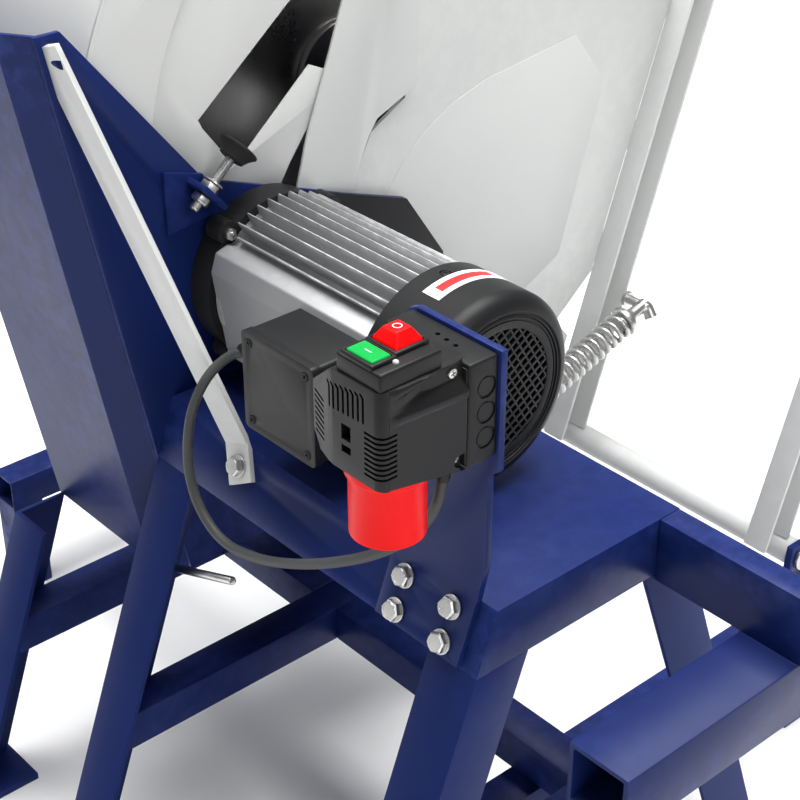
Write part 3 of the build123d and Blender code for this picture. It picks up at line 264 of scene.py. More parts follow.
def finish_material(name, dark, light, rough, grain=(8, 400, 0.4), bump=(0.1, 0.0002), worn_and_lit_edges=None,
                    dust=0.0, **shader_values):
    """Surface with clouded colour, uneven gloss and fine grain; lighter edges (rubbed wear and painted edge
    highlight) and dust if asked.
    """
    mat, t, shader = fresh(name)
    t.put(shader, **shader_values)
    g = use_group(t, GRAIN, Cloud_Scale=grain[0], Grain_Scale=grain[1], Grain_Share=grain[2])
    colour = colour_mix(t, ranged(t, g.outputs["Mask"], 0, 1), dark, light)
    # Lighter tint of the same colour on sharp edges: rubbed wear and a painted edge highlight.
    if worn_and_lit_edges:
        w = use_group(t, WEAR_AND_HIGHLIGHT, Start=worn_and_lit_edges[1], Width=worn_and_lit_edges[2])
        colour = colour_mix(t, w.outputs["Mask"], colour, worn_and_lit_edges[0])
    if dust:
        d = use_group(t, DUST, Amount=dust)
        colour = colour_mix(t, d.outputs["Mask"], colour, (0.42, 0.38, 0.33))
    t.join(colour, shader.inputs["Base Color"])
    t.join(ranged(t, g.outputs["Mask"], rough[0], rough[1]), shader.inputs["Roughness"])
    bumped(t, shader, g.outputs["Grain"], bump[0], bump[1])
    return mat


def turned_steel(name, centre):
    """Ground steel disc with rings about its shaft."""
    mat, t, shader = fresh(name)
    t.put(shader, Metallic=1.0, Anisotropic=0.5)
    pos = t.add("ShaderNodeTexCoord")
    shift = t.add("ShaderNodeVectorMath", operation="SUBTRACT")
    shift.inputs[1].default_value = centre
    split = t.add("ShaderNodeSeparateXYZ")
    flat = t.add("ShaderNodeCombineXYZ")
    length = t.add("ShaderNodeVectorMath", operation="LENGTH")
    rings = t.put(t.add("ShaderNodeTexNoise", noise_dimensions="1D"), Scale=1500.0, Detail=3.0)
    t.wire(pos, "Object", shift, 0)
    t.wire(shift, 0, split, 0)
    t.wire(split, "Y", flat, "Y")
    t.wire(split, "Z", flat, "Z")
    t.wire(flat, 0, length, 0)
    t.wire(length, "Value", rings, "W")
    g = use_group(t, GRAIN, Cloud_Scale=14.0, Grain_Scale=300.0, Grain_Share=0.3)
    tone = colour_mix(t, rings.outputs["Fac"], (0.36, 0.36, 0.37), (0.66, 0.66, 0.67))
    stained = colour_mix(t, ranged(t, g.outputs["Mask"], 0, 0.5), tone, (0.42, 0.38, 0.34))
    t.join(stained, shader.inputs["Base Color"])
    t.join(ranged(t, g.outputs["Mask"], 0.24, 0.42), shader.inputs["Roughness"])
    bumped(t, shader, rings.outputs["Fac"], 0.15, 0.0001)
    return mat


NAVY = ((0.005, 0.013, 0.080), (0.008, 0.019, 0.105))
# The first colour in each edge entry is that lighter edge tint: painted edge highlight as well as rubbed
# wear.
MATERIALS = {
    "blue_paint": finish_material(
        "navy_powder_paint", NAVY[0], NAVY[1], (0.30, 0.44), (5, 900, 0.35), (0.16, 0.00025),
        worn_and_lit_edges=((0.03, 0.05, 0.24), 0.54, 0.12), dust=0.015, Specular_IOR_Level=0.12),
    "light_paint": finish_material(
        "light_grey_powder_paint", (0.58, 0.59, 0.58), (0.62, 0.63, 0.62), (0.36, 0.46), (4, 850, 0.3),
        (0.14, 0.00025), worn_and_lit_edges=((0.72, 0.72, 0.70), 0.55, 0.12), dust=0.01),
    "black_metal": finish_material(
        "black_satin_paint", (0.010, 0.010, 0.011), (0.020, 0.020, 0.022), (0.36, 0.52), (9, 900, 0.4),
        (0.12, 0.0002), worn_and_lit_edges=((0.04, 0.04, 0.045), 0.55, 0.12), Specular_IOR_Level=0.12),
    "aluminium": finish_material(
        "cast_aluminium_grey", (0.34, 0.345, 0.35), (0.40, 0.405, 0.41), (0.38, 0.50), (12, 700, 0.5),
        (0.25, 0.0003), worn_and_lit_edges=((0.70, 0.70, 0.70), 0.53, 0.08), dust=0.01, Metallic=0.45),
    "black_plastic": finish_material(
        "black_grained_plastic", (0.0065, 0.0067, 0.0073), (0.011, 0.0113, 0.0123), (0.36, 0.48),
        (10, 1600, 0.5), (0.22, 0.0002), worn_and_lit_edges=((0.03, 0.03, 0.033), 0.55, 0.12), dust=0.004,
        Specular_IOR_Level=0.2),
    "zinc_steel": finish_material(
        "bright_zinc", (0.46, 0.46, 0.45), (0.66, 0.66, 0.64), (0.24, 0.42), (60, 900, 0.4),
        (0.1, 0.0001), Metallic=1.0),
    "bare_steel": turned_steel("ground_steel", ARBOR),
    "cast_iron": finish_material(
        "dark_cast_iron", (0.05, 0.05, 0.052), (0.10, 0.10, 0.102), (0.45, 0.62), (30, 500, 0.6),
        (0.35, 0.0004), Metallic=0.7),
    "rubber": finish_material(
        "black_rubber", (0.009, 0.009, 0.009), (0.018, 0.018, 0.018), (0.62, 0.78), (20, 900, 0.5),
        (0.25, 0.0002), Specular_IOR_Level=0.3),
    "cable_rubber": finish_material(
        "dark_grey_cable_sheath", (0.035, 0.037, 0.038), (0.060, 0.062, 0.063), (0.42, 0.58),
        (25, 900, 0.4), (0.2, 0.0002), Specular_IOR_Level=0.3),
    "red_plastic": finish_material(
        "red_moulded_plastic", (0.78, 0.0015, 0.002), (0.92, 0.002, 0.003), (0.28, 0.40), (12, 700, 0.3),
        (0.06, 0.0001), Specular_IOR_Level=0.12),
    "green_plastic": finish_material(
        "green_moulded_plastic", (0.003, 0.27, 0.045), (0.005, 0.34, 0.06), (0.26, 0.38), (14, 700, 0.3),
        (0.06, 0.0001), Specular_IOR_Level=0.12),
    "label": finish_material(
        "white_label_film", (0.78, 0.78, 0.77), (0.86, 0.86, 0.85), (0.28, 0.4), (30, 500, 0.3),
        (0.05, 0.0001)),
    "lamp": finish_material(
        "clear_indicator", (0.45, 0.47, 0.46), (0.62, 0.64, 0.62), (0.12, 0.22), (40, 500, 0.3),
        (0.05, 0.0001), Coat_Weight=0.6),
}
WHITE_PRINT = finish_material("white_print", (0.72, 0.72, 0.70), (0.82, 0.82, 0.80), (0.35, 0.5))
RED_PRINT = finish_material("red_print", (0.60, 0.006, 0.008), (0.75, 0.01, 0.012), (0.3, 0.42))


# ================= mesh helpers =================
def in_scene(name, data):
    """New object in the scene."""
    obj = bpy.data.objects.new(name, data)
    bpy.context.scene.collection.objects.link(obj)
    return obj


def new_object(name, mesh, slot_name, body, material=None, replaces=()):
    """Finished piece at the origin, painted, riding on its body."""
    obj = in_scene(name, mesh)
    if not mesh.materials:
        mesh.materials.append(material or MATERIALS[slot_name])
    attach(obj, body)
    if replaces:
        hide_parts(*replaces)
    return obj


def smooth(mesh, angle=32):
    """Smooth shading with edges sharper than the angle kept crisp."""
    for p in mesh.polygons:
        p.use_smooth = True
    mesh.set_sharp_from_angle(angle=radians(angle))


def evaluated_mesh(obj):
    graph = bpy.context.evaluated_depsgraph_get()
    graph.update()
    return bpy.data.meshes.new_from_object(obj.evaluated_get(graph))


def softened(node, width, segments=2, angle=35):
    """Stands for a CAD node with its sharp edges rounded."""
    mesh = frame["nodes"][node].data.copy()
    mesh.materials.clear()
    bm = bmesh.new()
    bm.from_mesh(mesh)
    bmesh.ops.remove_doubles(bm, verts=bm.verts, dist=2e-6)
    bmesh.ops.dissolve_limit(bm, angle_limit=radians(0.6), verts=bm.verts, edges=bm.edges)
    bm.to_mesh(mesh)
    bm.free()
    for name in [a.name for a in mesh.attributes if a.name == "custom_normal"]:
        mesh.attributes.remove(mesh.attributes[name])
    temp = in_scene("temp", mesh)
    bevel = temp.modifiers.new("round", "BEVEL")
    bevel.width = width
    bevel.segments = segments
    bevel.limit_method = "ANGLE"
    bevel.angle_limit = radians(angle)
    bevel.use_clamp_overlap = True
    bevel.harden_normals = False
    final = evaluated_mesh(temp)
    bpy.data.objects.remove(temp)
    smooth(final)
    slot_name = SLOT_OF[node]
    return new_object(node + "_finish", final, slot_name, BODY_OF[node], replaces=(node,))


def from_bmesh(bm, name):
    mesh = bpy.data.meshes.new(name)
    bm.to_mesh(mesh)
    bm.free()
    return mesh


def bridge(bm, low, high):
    """Band of faces between two rings of as many points."""
    for corners in zip(low, low[1:] + low[:1], high[1:] + high[:1], high):
        bm.faces.new(corners)


def ring_profile(bm, profile, sides):
    """Turned shape about z from (radius, height) pairs."""
    rings = []
    for r, z in profile:
        ring = []
        for i in range(sides):
            a = 2 * pi * i / sides
            ring.append(bm.verts.new((r * cos(a), r * sin(a), z)))
        rings.append(ring)
    for low, high in zip(rings, rings[1:]):
        bridge(bm, low, high)
    bm.faces.new(list(reversed(rings[0])))
    bm.faces.new(rings[-1])


def hex_head(across, height, washer_r, washer_t):
    """Hexagon head with a domed top over a round washer."""
    bm = bmesh.new()
    e = 0.4 * MM
    washer = [(washer_r - e, 0), (washer_r, e), (washer_r, washer_t - e), (washer_r - e, washer_t)]
    ring_profile(bm, washer, 40)
    r = across / 2 / cos(pi / 6)
    top = washer_t + height
    ring_profile(bm, [(r, washer_t), (r, top - 1.6 * MM), (r * 0.86, top)], 6)
    dome = ((0.47, -0.3), (0.45, 0.2), (0.34, 0.25), (0.33, -0.1))
    ring_profile(bm, [(across * share, top + lift * MM) for share, lift in dome], 32)
    return from_bmesh(bm, "hex_head")


def tube_mesh(name, points, radius, sides=4):
    """Round bar along points, as a mesh."""
    curve = bpy.data.curves.new(name, "CURVE")
    curve.dimensions = "3D"
    curve.bevel_depth = radius
    curve.bevel_resolution = sides
    curve.use_fill_caps = True
    line = curve.splines.new("POLY")
    line.points.add(len(points) - 1)
    for p, q in zip(line.points, points):
        p.co = (*q, 1)
    obj = in_scene(name, curve)
    mesh = evaluated_mesh(obj)
    bpy.data.objects.remove(obj)
    return mesh


def joined(meshes, name):
    bm = bmesh.new()
    for m in meshes:
        bm.from_mesh(m)
    return from_bmesh(bm, name)


def prism(points, low, high, lift):
    """Solid between two copies of an outline; lift turns (u, v, w) into a place."""
    bm = bmesh.new()
    a = [bm.verts.new(lift(u, v, low)) for u, v in points]
    b = [bm.verts.new(lift(u, v, high)) for u, v in points]
    n = len(points)
    bm.faces.new(a)
    bm.faces.new(list(reversed(b)))
    for i in range(n):
        j = (i + 1) % n
        bm.faces.new((a[i], b[i], b[j], a[j]))
    bmesh.ops.recalc_face_normals(bm, faces=bm.faces)
    return bm


def level(x, y, z):
    return at(x, y, z)


def block(x0, x1, y0, y1, z0, z1):
    return prism([(x0, y0), (x1, y0), (x1, y1), (x0, y1)], z0, z1, level)


def cut_plane(bm, point, normal):
    """Takes away what lies beyond a plane and closes the cut."""
    geom = bm.verts[:] + bm.edges[:] + bm.faces[:]
    cut = bmesh.ops.bisect_plane(bm, geom=geom, plane_co=point, plane_no=normal, clear_outer=True)
    edges = [g for g in cut["geom_cut"] if isinstance(g, bmesh.types.BMEdge)]
    bmesh.ops.contextual_create(bm, geom=edges)
    bmesh.ops.recalc_face_normals(bm, faces=bm.faces)


def with_modifiers(mesh, *settings):
    """Mesh after a row of (type, values) modifiers."""
    temp = in_scene("temp", mesh)
    for kind, values in settings:
        mod = temp.modifiers.new("m", kind)
        for key, value in values.items():
            setattr(mod, key, value)
    final = evaluated_mesh(temp)
    bpy.data.objects.remove(temp)
    return final


def rounded(bm, width, segments=3, angle=30):
    mesh = from_bmesh(bm, "rounded") if isinstance(bm, bmesh.types.BMesh) else bm
    return with_modifiers(mesh, ("BEVEL", dict(width=width * MM, segments=segments, limit_method="ANGLE",
                                               angle_limit=radians(angle), use_clamp_overlap=True)))


def carved(mesh, cutters):
    """Mesh with cutter solids taken out of it."""
    tool = in_scene("tool", joined(cutters, "tool"))
    out = with_modifiers(mesh, ("BOOLEAN", dict(object=tool, operation="DIFFERENCE", solver="EXACT",
                                                use_self=True)))
    bpy.data.objects.remove(tool)
    return out


def turned(profile, origin, axis, sides=96, closed=True):
    """Ring or solid turned about an axis from (along, radius) pairs in millimetres."""
    axis = Vector(axis).normalized()
    u = axis.orthogonal().normalized()
    v = axis.cross(u)
    bm = bmesh.new()
    rings = []
    for along, r in profile:
        centre = origin + axis * along * MM
        if r <= 0:
            rings.append([bm.verts.new(centre)])
            continue
        turns = [2 * pi * i / sides for i in range(sides)]
        rings.append([bm.verts.new(centre + (u * cos(a) + v * sin(a)) * r * MM) for a in turns])
    pairs = list(zip(rings, rings[1:]))
    if closed:
        pairs.append((rings[-1], rings[0]))
    for low, high in pairs:
        for i in range(sides):
            j = (i + 1) % sides
            if len(low) == 1 and len(high) == 1:
                continue
            if len(low) == 1:
                bm.faces.new((low[0], high[i], high[j]))
            elif len(high) == 1:
                bm.faces.new((low[i], high[0], low[j]))
            else:
                bm.faces.new((low[i], high[i], high[j], low[j]))
    bmesh.ops.recalc_face_normals(bm, faces=bm.faces)
    return from_bmesh(bm, "turned")


def arc(centre_along, centre_r, radius, start, stop, steps):
    """Rounded corner of a turned profile; angles in degrees from the axis."""
    out = []
    for i in range(steps + 1):
        a = radians(start + (stop - start) * i / steps)
        out.append((centre_along + radius * cos(a), centre_r + radius * sin(a)))
    return out


# ================= stage, light and camera =================
WORLD_LIGHT = 0.27
LAMPS = (                                             # name, place, side and power
    ("key", (-3.0, -1.6, 3.8), 2.4, 55),
    ("side", (3.4, -0.4, 2.6), 1.5, 36),
    ("top", (0.0, 0.4, 4.4), 3.2, 380),
)


def stage():
    """White floor, even sky and three soft lamps."""
    bm = bmesh.new()
    half = 14.0
    ring = [bm.verts.new((x * half, y * half, 0)) for x, y in ((-1, -1), (1, -1), (1, 1), (-1, 1))]
    bm.faces.new(ring)
    floor = in_scene("floor", from_bmesh(bm, "floor"))
    pale = finish_material("pale_floor", (0.88, 0.88, 0.88), (0.92, 0.92, 0.92), (0.85, 0.95))
    floor.data.materials.append(pale)
    world = bpy.data.worlds.new("studio")
    world.use_nodes = True
    back = world.node_tree.nodes["Background"]
    back.inputs["Color"].default_value = (1.0, 1.0, 1.0, 1)
    back.inputs["Strength"].default_value = WORLD_LIGHT
    bpy.context.scene.world = world
    target = Vector((0.0, 0.0, 0.65))
    for name, place, size, power in LAMPS:
        data = bpy.data.lights.new(name, "AREA")
        data.shape = "SQUARE"
        data.size = size
        data.energy = power
        lamp = in_scene(name, data)
        lamp.location = place
        lamp.rotation_euler = (target - Vector(place)).to_track_quat("-Z", "Y").to_euler()


def camera():
    """Long lens from the fan end, looking down over the switch."""
    data = bpy.data.cameras.new("camera")
    data.lens = 80
    data.sensor_width = 36
    cam = in_scene("camera", data)
    cam.location = at(957, -889, 748)
    cam.rotation_euler = (radians(58.99), 0, radians(48.51))
    bpy.context.scene.camera = cam
    bpy.context.scene.view_settings.view_transform = "Standard"


stage()
camera()
for node, obj in frame["nodes"].items():
    obj.data.materials.clear()
    obj.data.materials.append(MATERIALS[SLOT_OF[node]])


# ================= cable =================
def cable():
    """Rubber cable from the terminal box gland, in a loop before the brace, up into the switch."""
    route = [
        (-104, -114, 4), (-122, -114, 4), (-134, -129, -7), (-138, -147, -24), (-144, -159, -57),
        (-143, -165, -104), (-127, -167, -138), (-92, -168, -157), (-41, -169, -146), (9, -169, -124),
        (56, -167, -98), (100, -161, -70), (132, -153, -42), (154, -148, -12), (163, -145, 18),
        (163, -145, 45),
    ]
    curve = bpy.data.curves.new("motor_lead", "CURVE")
    curve.dimensions = "3D"
    curve.bevel_depth = CABLE_D / 2
    curve.bevel_resolution = 5
    curve.resolution_u = 14
    line = curve.splines.new("NURBS")
    line.points.add(len(route) - 1)
    for p, q in zip(line.points, route):
        p.co = (*at(*q), 1)
    line.order_u = 3
    line.use_endpoint_u = True
    obj = in_scene("motor_lead", curve)
    curve.materials.append(MATERIALS["cable_rubber"])
    plain = curve.copy()
    plain.bevel_depth = 0
    probe = in_scene("probe", plain)
    mesh = evaluated_mesh(probe)
    bpy.data.objects.remove(probe)
    bpy.data.meshes.remove(mesh)
    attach(obj, "base")
    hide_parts("motor_cable")


cable()


# ================= cable entries =================
def glands():
    """Hexagon and tapered boot at the terminal box, and a boot under the switch."""
    origin = at(-94, -114, 4)
    nut = [(0, 0), (0, 9.9), (0.6, 10.4), (5.4, 10.4), (6, 9.9), (6, 0)]
    hexa = turned(nut, origin, (-1, 0, 0), 6, False)
    taper = [(-1, 4.4), (-1, 6.5), (6, 7.5), (8, 7.5), (10, 7.2), (14, 6.8), (22, 5.9), (29, 5.3), (30, 5.0),
             (30, 4.4)]
    dome = turned(taper, origin, (-1, 0, 0), 40)
    mesh = joined([rounded(hexa, 0.5, 2), dome], "gland")
    smooth(mesh)
    new_object("gland_boot", mesh, "black_plastic", "base", replaces=("terminal_gland",))
    sleeve = [(-3, 4.4), (-3, 8), (1, 8.4), (2.5, 7.6), (5, 7.2), (9, 6.6), (18, 5.5), (19, 5.1), (19, 4.4)]
    boot = turned(sleeve, at(163, -145, 45), (0, 0, -1), 40)
    smooth(boot)
    new_object("switch_lead_boot", boot, "black_plastic", "base")


glands()


# ================= fan cowl and grille =================
def cowl():
    """Deep black cup with a rounded shoulder and a stepped mouth."""
    profile = [(-6, 88), (-5.4, 88), (56, 88)] + arc(57.5, 72, 16, 90, 12, 14)
    profile += [(73.5, 74.2), (73.4, 73.2), (72.6, 72.6), (72.2, 71.4), (72.8, 70.6), (72.9, 69.9)]
    profile += [(72.4, 69.6), (65.5, 69.6), (65.5, 72)] + arc(54, 73, 12, 12, 90, 8) + [(-6, 85)]
    mesh = turned(profile, at(0, 0, 0), (1, 0, 0), 160)
    seats = []
    for a in COWL_SCREW_TURNS:
        c = radians(a)
        d = Vector((0, cos(c), sin(c)))
        seat = [(-1.2, 0), (-1.2, 5.2), (4, 5.2), (4, 0)]
        seats.append(turned(seat, at(8, 0, 0) + d * COWL_R, d, 32, False))
    mesh = carved(mesh, seats)
    smooth(mesh, 40)
    new_object("cowl_shell", mesh, "black_plastic", "base", replaces=("fan_cowl",))


def grille_bar():
    """One bar of the grille, a unit long, with softened edges."""
    bm = bmesh.new()
    w, t, e = 1.1 * MM, 1.0 * MM, 0.35 * MM
    section = [(-w, -t + e), (-w + e, -t), (w - e, -t), (w, -t + e),
               (w, t - e), (w - e, t), (-w + e, t), (-w, t - e)]
    low = [bm.verts.new((x, y, -0.5)) for x, y in section]
    high = [bm.verts.new((x, y, 0.5)) for x, y in section]
    bm.faces.new(list(reversed(low)))
    bm.faces.new(high)
    bridge(bm, low, high)
    bmesh.ops.recalc_face_normals(bm, faces=bm.faces)
    return from_bmesh(bm, "bar")


def copies_tree(material):
    """Geometry nodes: one piece at each point, turned to its aim and scaled to its size."""
    tree = bpy.data.node_groups.new("place_pieces", "GeometryNodeTree")
    for name, way, kind in (("Points", "INPUT", "Geometry"), ("Piece", "INPUT", "Object"),
                            ("Geometry", "OUTPUT", "Geometry")):
        tree.interface.new_socket(name=name, in_out=way, socket_type="NodeSocket" + kind)
    t = Tree(tree)
    a = t.add("NodeGroupInput")
    b = t.add("NodeGroupOutput")
    info = t.add("GeometryNodeObjectInfo")
    aim, side, size = [t.put(t.add("GeometryNodeInputNamedAttribute", data_type="FLOAT_VECTOR"), Name=key)
                       for key in ("aim", "side", "size")]
    first = t.add("FunctionNodeAlignRotationToVector", axis="Z")
    then = t.add("FunctionNodeAlignRotationToVector", axis="X", pivot_axis="Z")
    place = t.add("GeometryNodeInstanceOnPoints")
    real = t.add("GeometryNodeRealizeInstances")
    paint = t.add("GeometryNodeSetMaterial")
    paint.inputs["Material"].default_value = material
    t.wire(a, "Points", place, "Points")
    t.wire(a, "Piece", info, "Object")
    t.wire(info, "Geometry", place, "Instance")
    t.wire(aim, "Attribute", first, "Vector")
    t.wire(first, "Rotation", then, "Rotation")
    t.wire(side, "Attribute", then, "Vector")
    t.wire(then, "Rotation", place, "Rotation")
    t.wire(size, "Attribute", place, "Scale")
    t.wire(place, "Instances", real, "Geometry")
    t.wire(real, "Geometry", paint, "Geometry")
    t.wire(paint, "Geometry", b, "Geometry")
    return tree


def copies(unit, spots, material):
    """Mesh of one unit repeated at (point, aim, side, size) spots."""
    points = bpy.data.meshes.new("points")
    points.from_pydata([tuple(s[0]) for s in spots], [], [])
    for k, key in enumerate(("aim", "side", "size")):
        layer = points.attributes.new(key, "FLOAT_VECTOR", "POINT")
        for i, s in enumerate(spots):
            layer.data[i].vector = s[k + 1]
    head = in_scene("unit", unit)
    holder = in_scene("holder", points)
    mod = holder.modifiers.new("place", "NODES")
    mod.node_group = copies_tree(material)
    for item in mod.node_group.interface.items_tree:
        if item.in_out == "INPUT" and item.name == "Piece":
            mod[item.identifier] = head
    mesh = evaluated_mesh(holder)
    for o in (head, holder):
        bpy.data.objects.remove(o)
    return mesh


ONE = (1, 1, 1)


def grille():
    """Woven-looking grid of bars inside the cowl's mouth, with its rim."""
    spots = []
    edge = 61.0                                       # radius that the bars reach
    pitch = 7.4
    x = 70.4
    for k, turn in enumerate((31, 121)):
        c = radians(turn)
        run = Vector((0, cos(c), sin(c)))
        across = Vector((0, -sin(c), cos(c)))
        n = int(edge / pitch)
        for i in range(-n, n + 1):
            off = (i + 0.5) * pitch
            if abs(off) > edge - 2:
                continue
            half = (edge ** 2 - off ** 2) ** 0.5
            if half < 6:
                continue
            spots.append((at(x - 0.3 * k, 0, 0) + across * off * MM, run, across, (1, 1, 2 * half * MM)))
    bars = copies(grille_bar(), spots, MATERIALS["black_plastic"])
    profile = [(69.0, 58.5), (69.0, 69.4), (71.6, 69.4), (71.9, 69.0), (71.9, 67.2), (71.0, 66.8),
               (71.0, 65.8), (71.9, 65.4), (71.9, 59.4), (71.5, 58.6)]
    rim = turned(profile, at(0, 0, 0), (1, 0, 0), 120)
    rim.materials.append(MATERIALS["black_plastic"])
    mesh = joined([bars, rim], "grille")
    mesh.materials.append(MATERIALS["black_plastic"])
    smooth(mesh, 40)
    new_object("grille_mesh", mesh, "black_plastic", "base", replaces=("cowl_grille",))


cowl()
grille()


# ================= label =================
def cowl_patch(x0, x1, a0, a1, radius, steps, thick):
    """Curved patch on the cowl between two turns."""
    bm = bmesh.new()
    rows = []
    for i in range(steps + 1):
        c = radians(a0 + (a1 - a0) * i / steps)
        rows.append([bm.verts.new(at(x, r * cos(c), r * sin(c)))
                     for x, r in ((x0, radius), (x1, radius), (x1, radius + thick), (x0, radius + thick))])
    for a, b in zip(rows, rows[1:]):
        bridge(bm, a, b)
    bm.faces.new(rows[0])
    bm.faces.new(rows[-1])
    bmesh.ops.recalc_face_normals(bm, faces=bm.faces)
    return bm


def label():
    """Plain white film on the cowl with a red arrow."""
    mesh = from_bmesh(cowl_patch(13, 33, 52, 110, 88.02, 40, 0.4), "label")
    smooth(mesh)
    new_object("turning_label_film", mesh, "label", "base", replaces=("turning_label",))
    bm = cowl_patch(18.5, 27.5, 66, 104, 88.4, 30, 0.15)
    tip = []
    for x, a in ((15.5, 66.2), (30.5, 66.2), (23, 57)):
        c = radians(a)
        tip.append([at(x, r * cos(c), r * sin(c)) for r in (88.4, 88.58)])
    low = [bm.verts.new(p[0]) for p in tip]
    high = [bm.verts.new(p[1]) for p in tip]
    bm.faces.new(low)
    bm.faces.new(high)
    bridge(bm, low, high)
    bmesh.ops.recalc_face_normals(bm, faces=bm.faces)
    arrow = from_bmesh(bm, "arrow")
    arrow.materials.append(RED_PRINT)
    smooth(arrow)
    new_object("turning_arrow", arrow, "red_plastic", "base")


label()


# ================= switch =================
def capsule(centre, along, across, outward, length, width, depth):
    """Cutter for a round-ended slot sunk into a face."""
    pts = []
    r = width / 2
    straight = length / 2 - r
    for end, start in ((1, -90), (-1, 90)):
        for i in range(5):
            a = radians(start + 45 * i)
            pts.append((end * straight + r * cos(a), r * sin(a)))
    c = at(*centre)
    u, v, w = (Vector(d).normalized() * MM for d in (along, across, outward))
    return from_bmesh(prism(pts, -depth, 2.0, lambda a, b, h: c + u * a + v * b + w * h), "slot")


def cover_low(y):
    """Height of the cover's sloping lower edge."""
    return 45 + (-143 - y) * 15 / 82


def ease(t):
    t = max(0.0, min(1.0, t))
    return t * t * (3 - 2 * t)


def cover_side():
    """Right side of the cover: a hollow runs from the upper screw and fades at the front corner."""
    bm = bmesh.new()
    ny, nz = 72, 84
    y0, y1 = -217.0, SEAM_Y
    grid = []
    for i in range(ny + 1):
        y = y0 + (y1 - y0) * i / ny
        low = 117.0 + (y + 223) * -4 / 77
        high = 130.5 + (y + 228) * 9 / 69
        deep = 8.0 * ease((y + 219) / 50)
        row = []
        for j in range(nz + 1):
            z = cover_low(y) + 0.1 + (138.8 - cover_low(y)) * j / nz
            s = (z - low) / (high - low)
            inside = ease(s / 0.45) * ease((1 - s) / 0.30)
            ridge = 1.5 * ease((y + 219) / 12) * max(0.0, 1 - ((z - low + 2.5) / 4.5) ** 2)
            ridge += 1.1 * ease((y + 219) / 12) * max(0.0, 1 - ((z - high - 1.5) / 3.5) ** 2)
            edge = max(0.0, z - 136.5) / 2.5
            fall = 2.5 * (1 - (1 - min(1.0, edge) ** 2) ** 0.5)
            foot = max(0.0, cover_low(y) + 1.5 - z) / 1.5
            fall += 1.2 * foot * foot
            back = max(0.0, y - (y1 - 1.6)) / 1.6
            fall += 1.0 * back * back
            row.append(bm.verts.new(at(COVER_X - deep * inside + ridge - fall, y, z)))
        grid.append(row)
    for i in range(ny):
        for j in range(nz):
            bm.faces.new((grid[i][j], grid[i + 1][j], grid[i + 1][j + 1], grid[i][j + 1]))
    rim = [grid[i][0] for i in range(ny)] + [grid[ny][j] for j in range(nz)]
    rim += [grid[i][nz] for i in range(ny, 0, -1)] + [grid[0][j] for j in range(nz, 0, -1)]
    inner = [bm.verts.new(Vector((at(174, 0, 0).x, v.co.y, v.co.z))) for v in rim]
    bridge(bm, rim, inner)
    bm.faces.new(inner)
    bmesh.ops.recalc_face_normals(bm, faces=bm.faces)
    return from_bmesh(bm, "cover_side")


def corner_arc(radius, turns):
    """Arc about the front corner of the cover as (x, y) points."""
    return [(178.5 + radius * cos(radians(a)), -217 + radius * sin(radians(a))) for a in turns]


def corner_band(z, half):
    """Cutter that runs round the front corner as one curved slot."""
    outer = [(169, -227)] + corner_arc(10, range(-90, 1, 15)) + [(188.5, -210)]
    inner = [(184.4, -210)] + corner_arc(5.9, range(0, -91, -15)) + [(169, -222.9)]
    return from_bmesh(prism(outer + inner, z - half, z + half, level), "band")


def switch_cover():
    """Front half of the switch case, with its slots, windows and hollowed right side."""
    outline = [(96, SEAM_Y), (96, -206), (99, -213), (128, -223.5), (135, -225)]
    outline += corner_arc(8, range(-90, 1, 3)) + [(180, -216.9), (180, SEAM_Y)]
    bm = prism(outline, 40, 139, level)
    cut_plane(bm, at(96, 0, 108), Vector((-31, 0, 38)))
    cut_plane(bm, at(110, 0, 60), Vector((-12, 0, -14)))
    cut_plane(bm, at(0, -143, 45), Vector((0, -15, -82)))
    body = rounded(bm, 2.5, 4)
    cutters = []
    for i in range(8):
        x = 131 + 5.3 * i
        top = 125 + 0.7 * i
        low = 106.5 + 0.35 * i
        middle = (x, -224.6, (top + low) / 2)
        cutters.append(capsule(middle, (0, 0, 1), (1, 0, 0), (0, -1, 0), top - low, 2.3, 2.4))
        bend = (x - 1.3, -224.6, top + 0.3)
        cutters.append(capsule(bend, (-0.75, 0, 0.66), (0.66, 0, 0.75), (0, -1, 0), 5.5, 2.3, 2.4))
    run = Vector((29, -10.5, 0)).normalized()
    out = Vector((-10.5, -29, 0)).normalized()
    for i in range(8):
        z = 71.5 + 4.7 * i
        cutters.append(capsule((111.5, -217.6, z), run, (0, 0, 1), out, 19, 2.0, 2.4))
    cutters += [corner_band(z, 1.0) for z in CORNER_SLOTS]
    for z0, z1 in ((76.5, 82.5), (87, 99.5)):
        cutters.append(from_bmesh(block(144.5, 154.5, -227, -219, z0, z1), "window"))
    body = carved(body, cutters)
    pockets = [turned([(-8, 0), (-8, 5.4), (9, 5.4), (9, 0)], at(187, y, z), (1, 0, 0), 32, False)
               for y, z in COVER_SCREWS]
    pockets.append(from_bmesh(block(179, 196, -150.3, -140, 46, 60.9), "notch"))
    pockets += [corner_band(z, 1.0) for z in CORNER_SLOTS]
    side = carved(cover_side(), pockets)
    mesh = joined([body, side], "cover")
    smooth(mesh, 35)
    new_object("cover_shell", mesh, "black_plastic", "base", replaces=("switch_cover",))


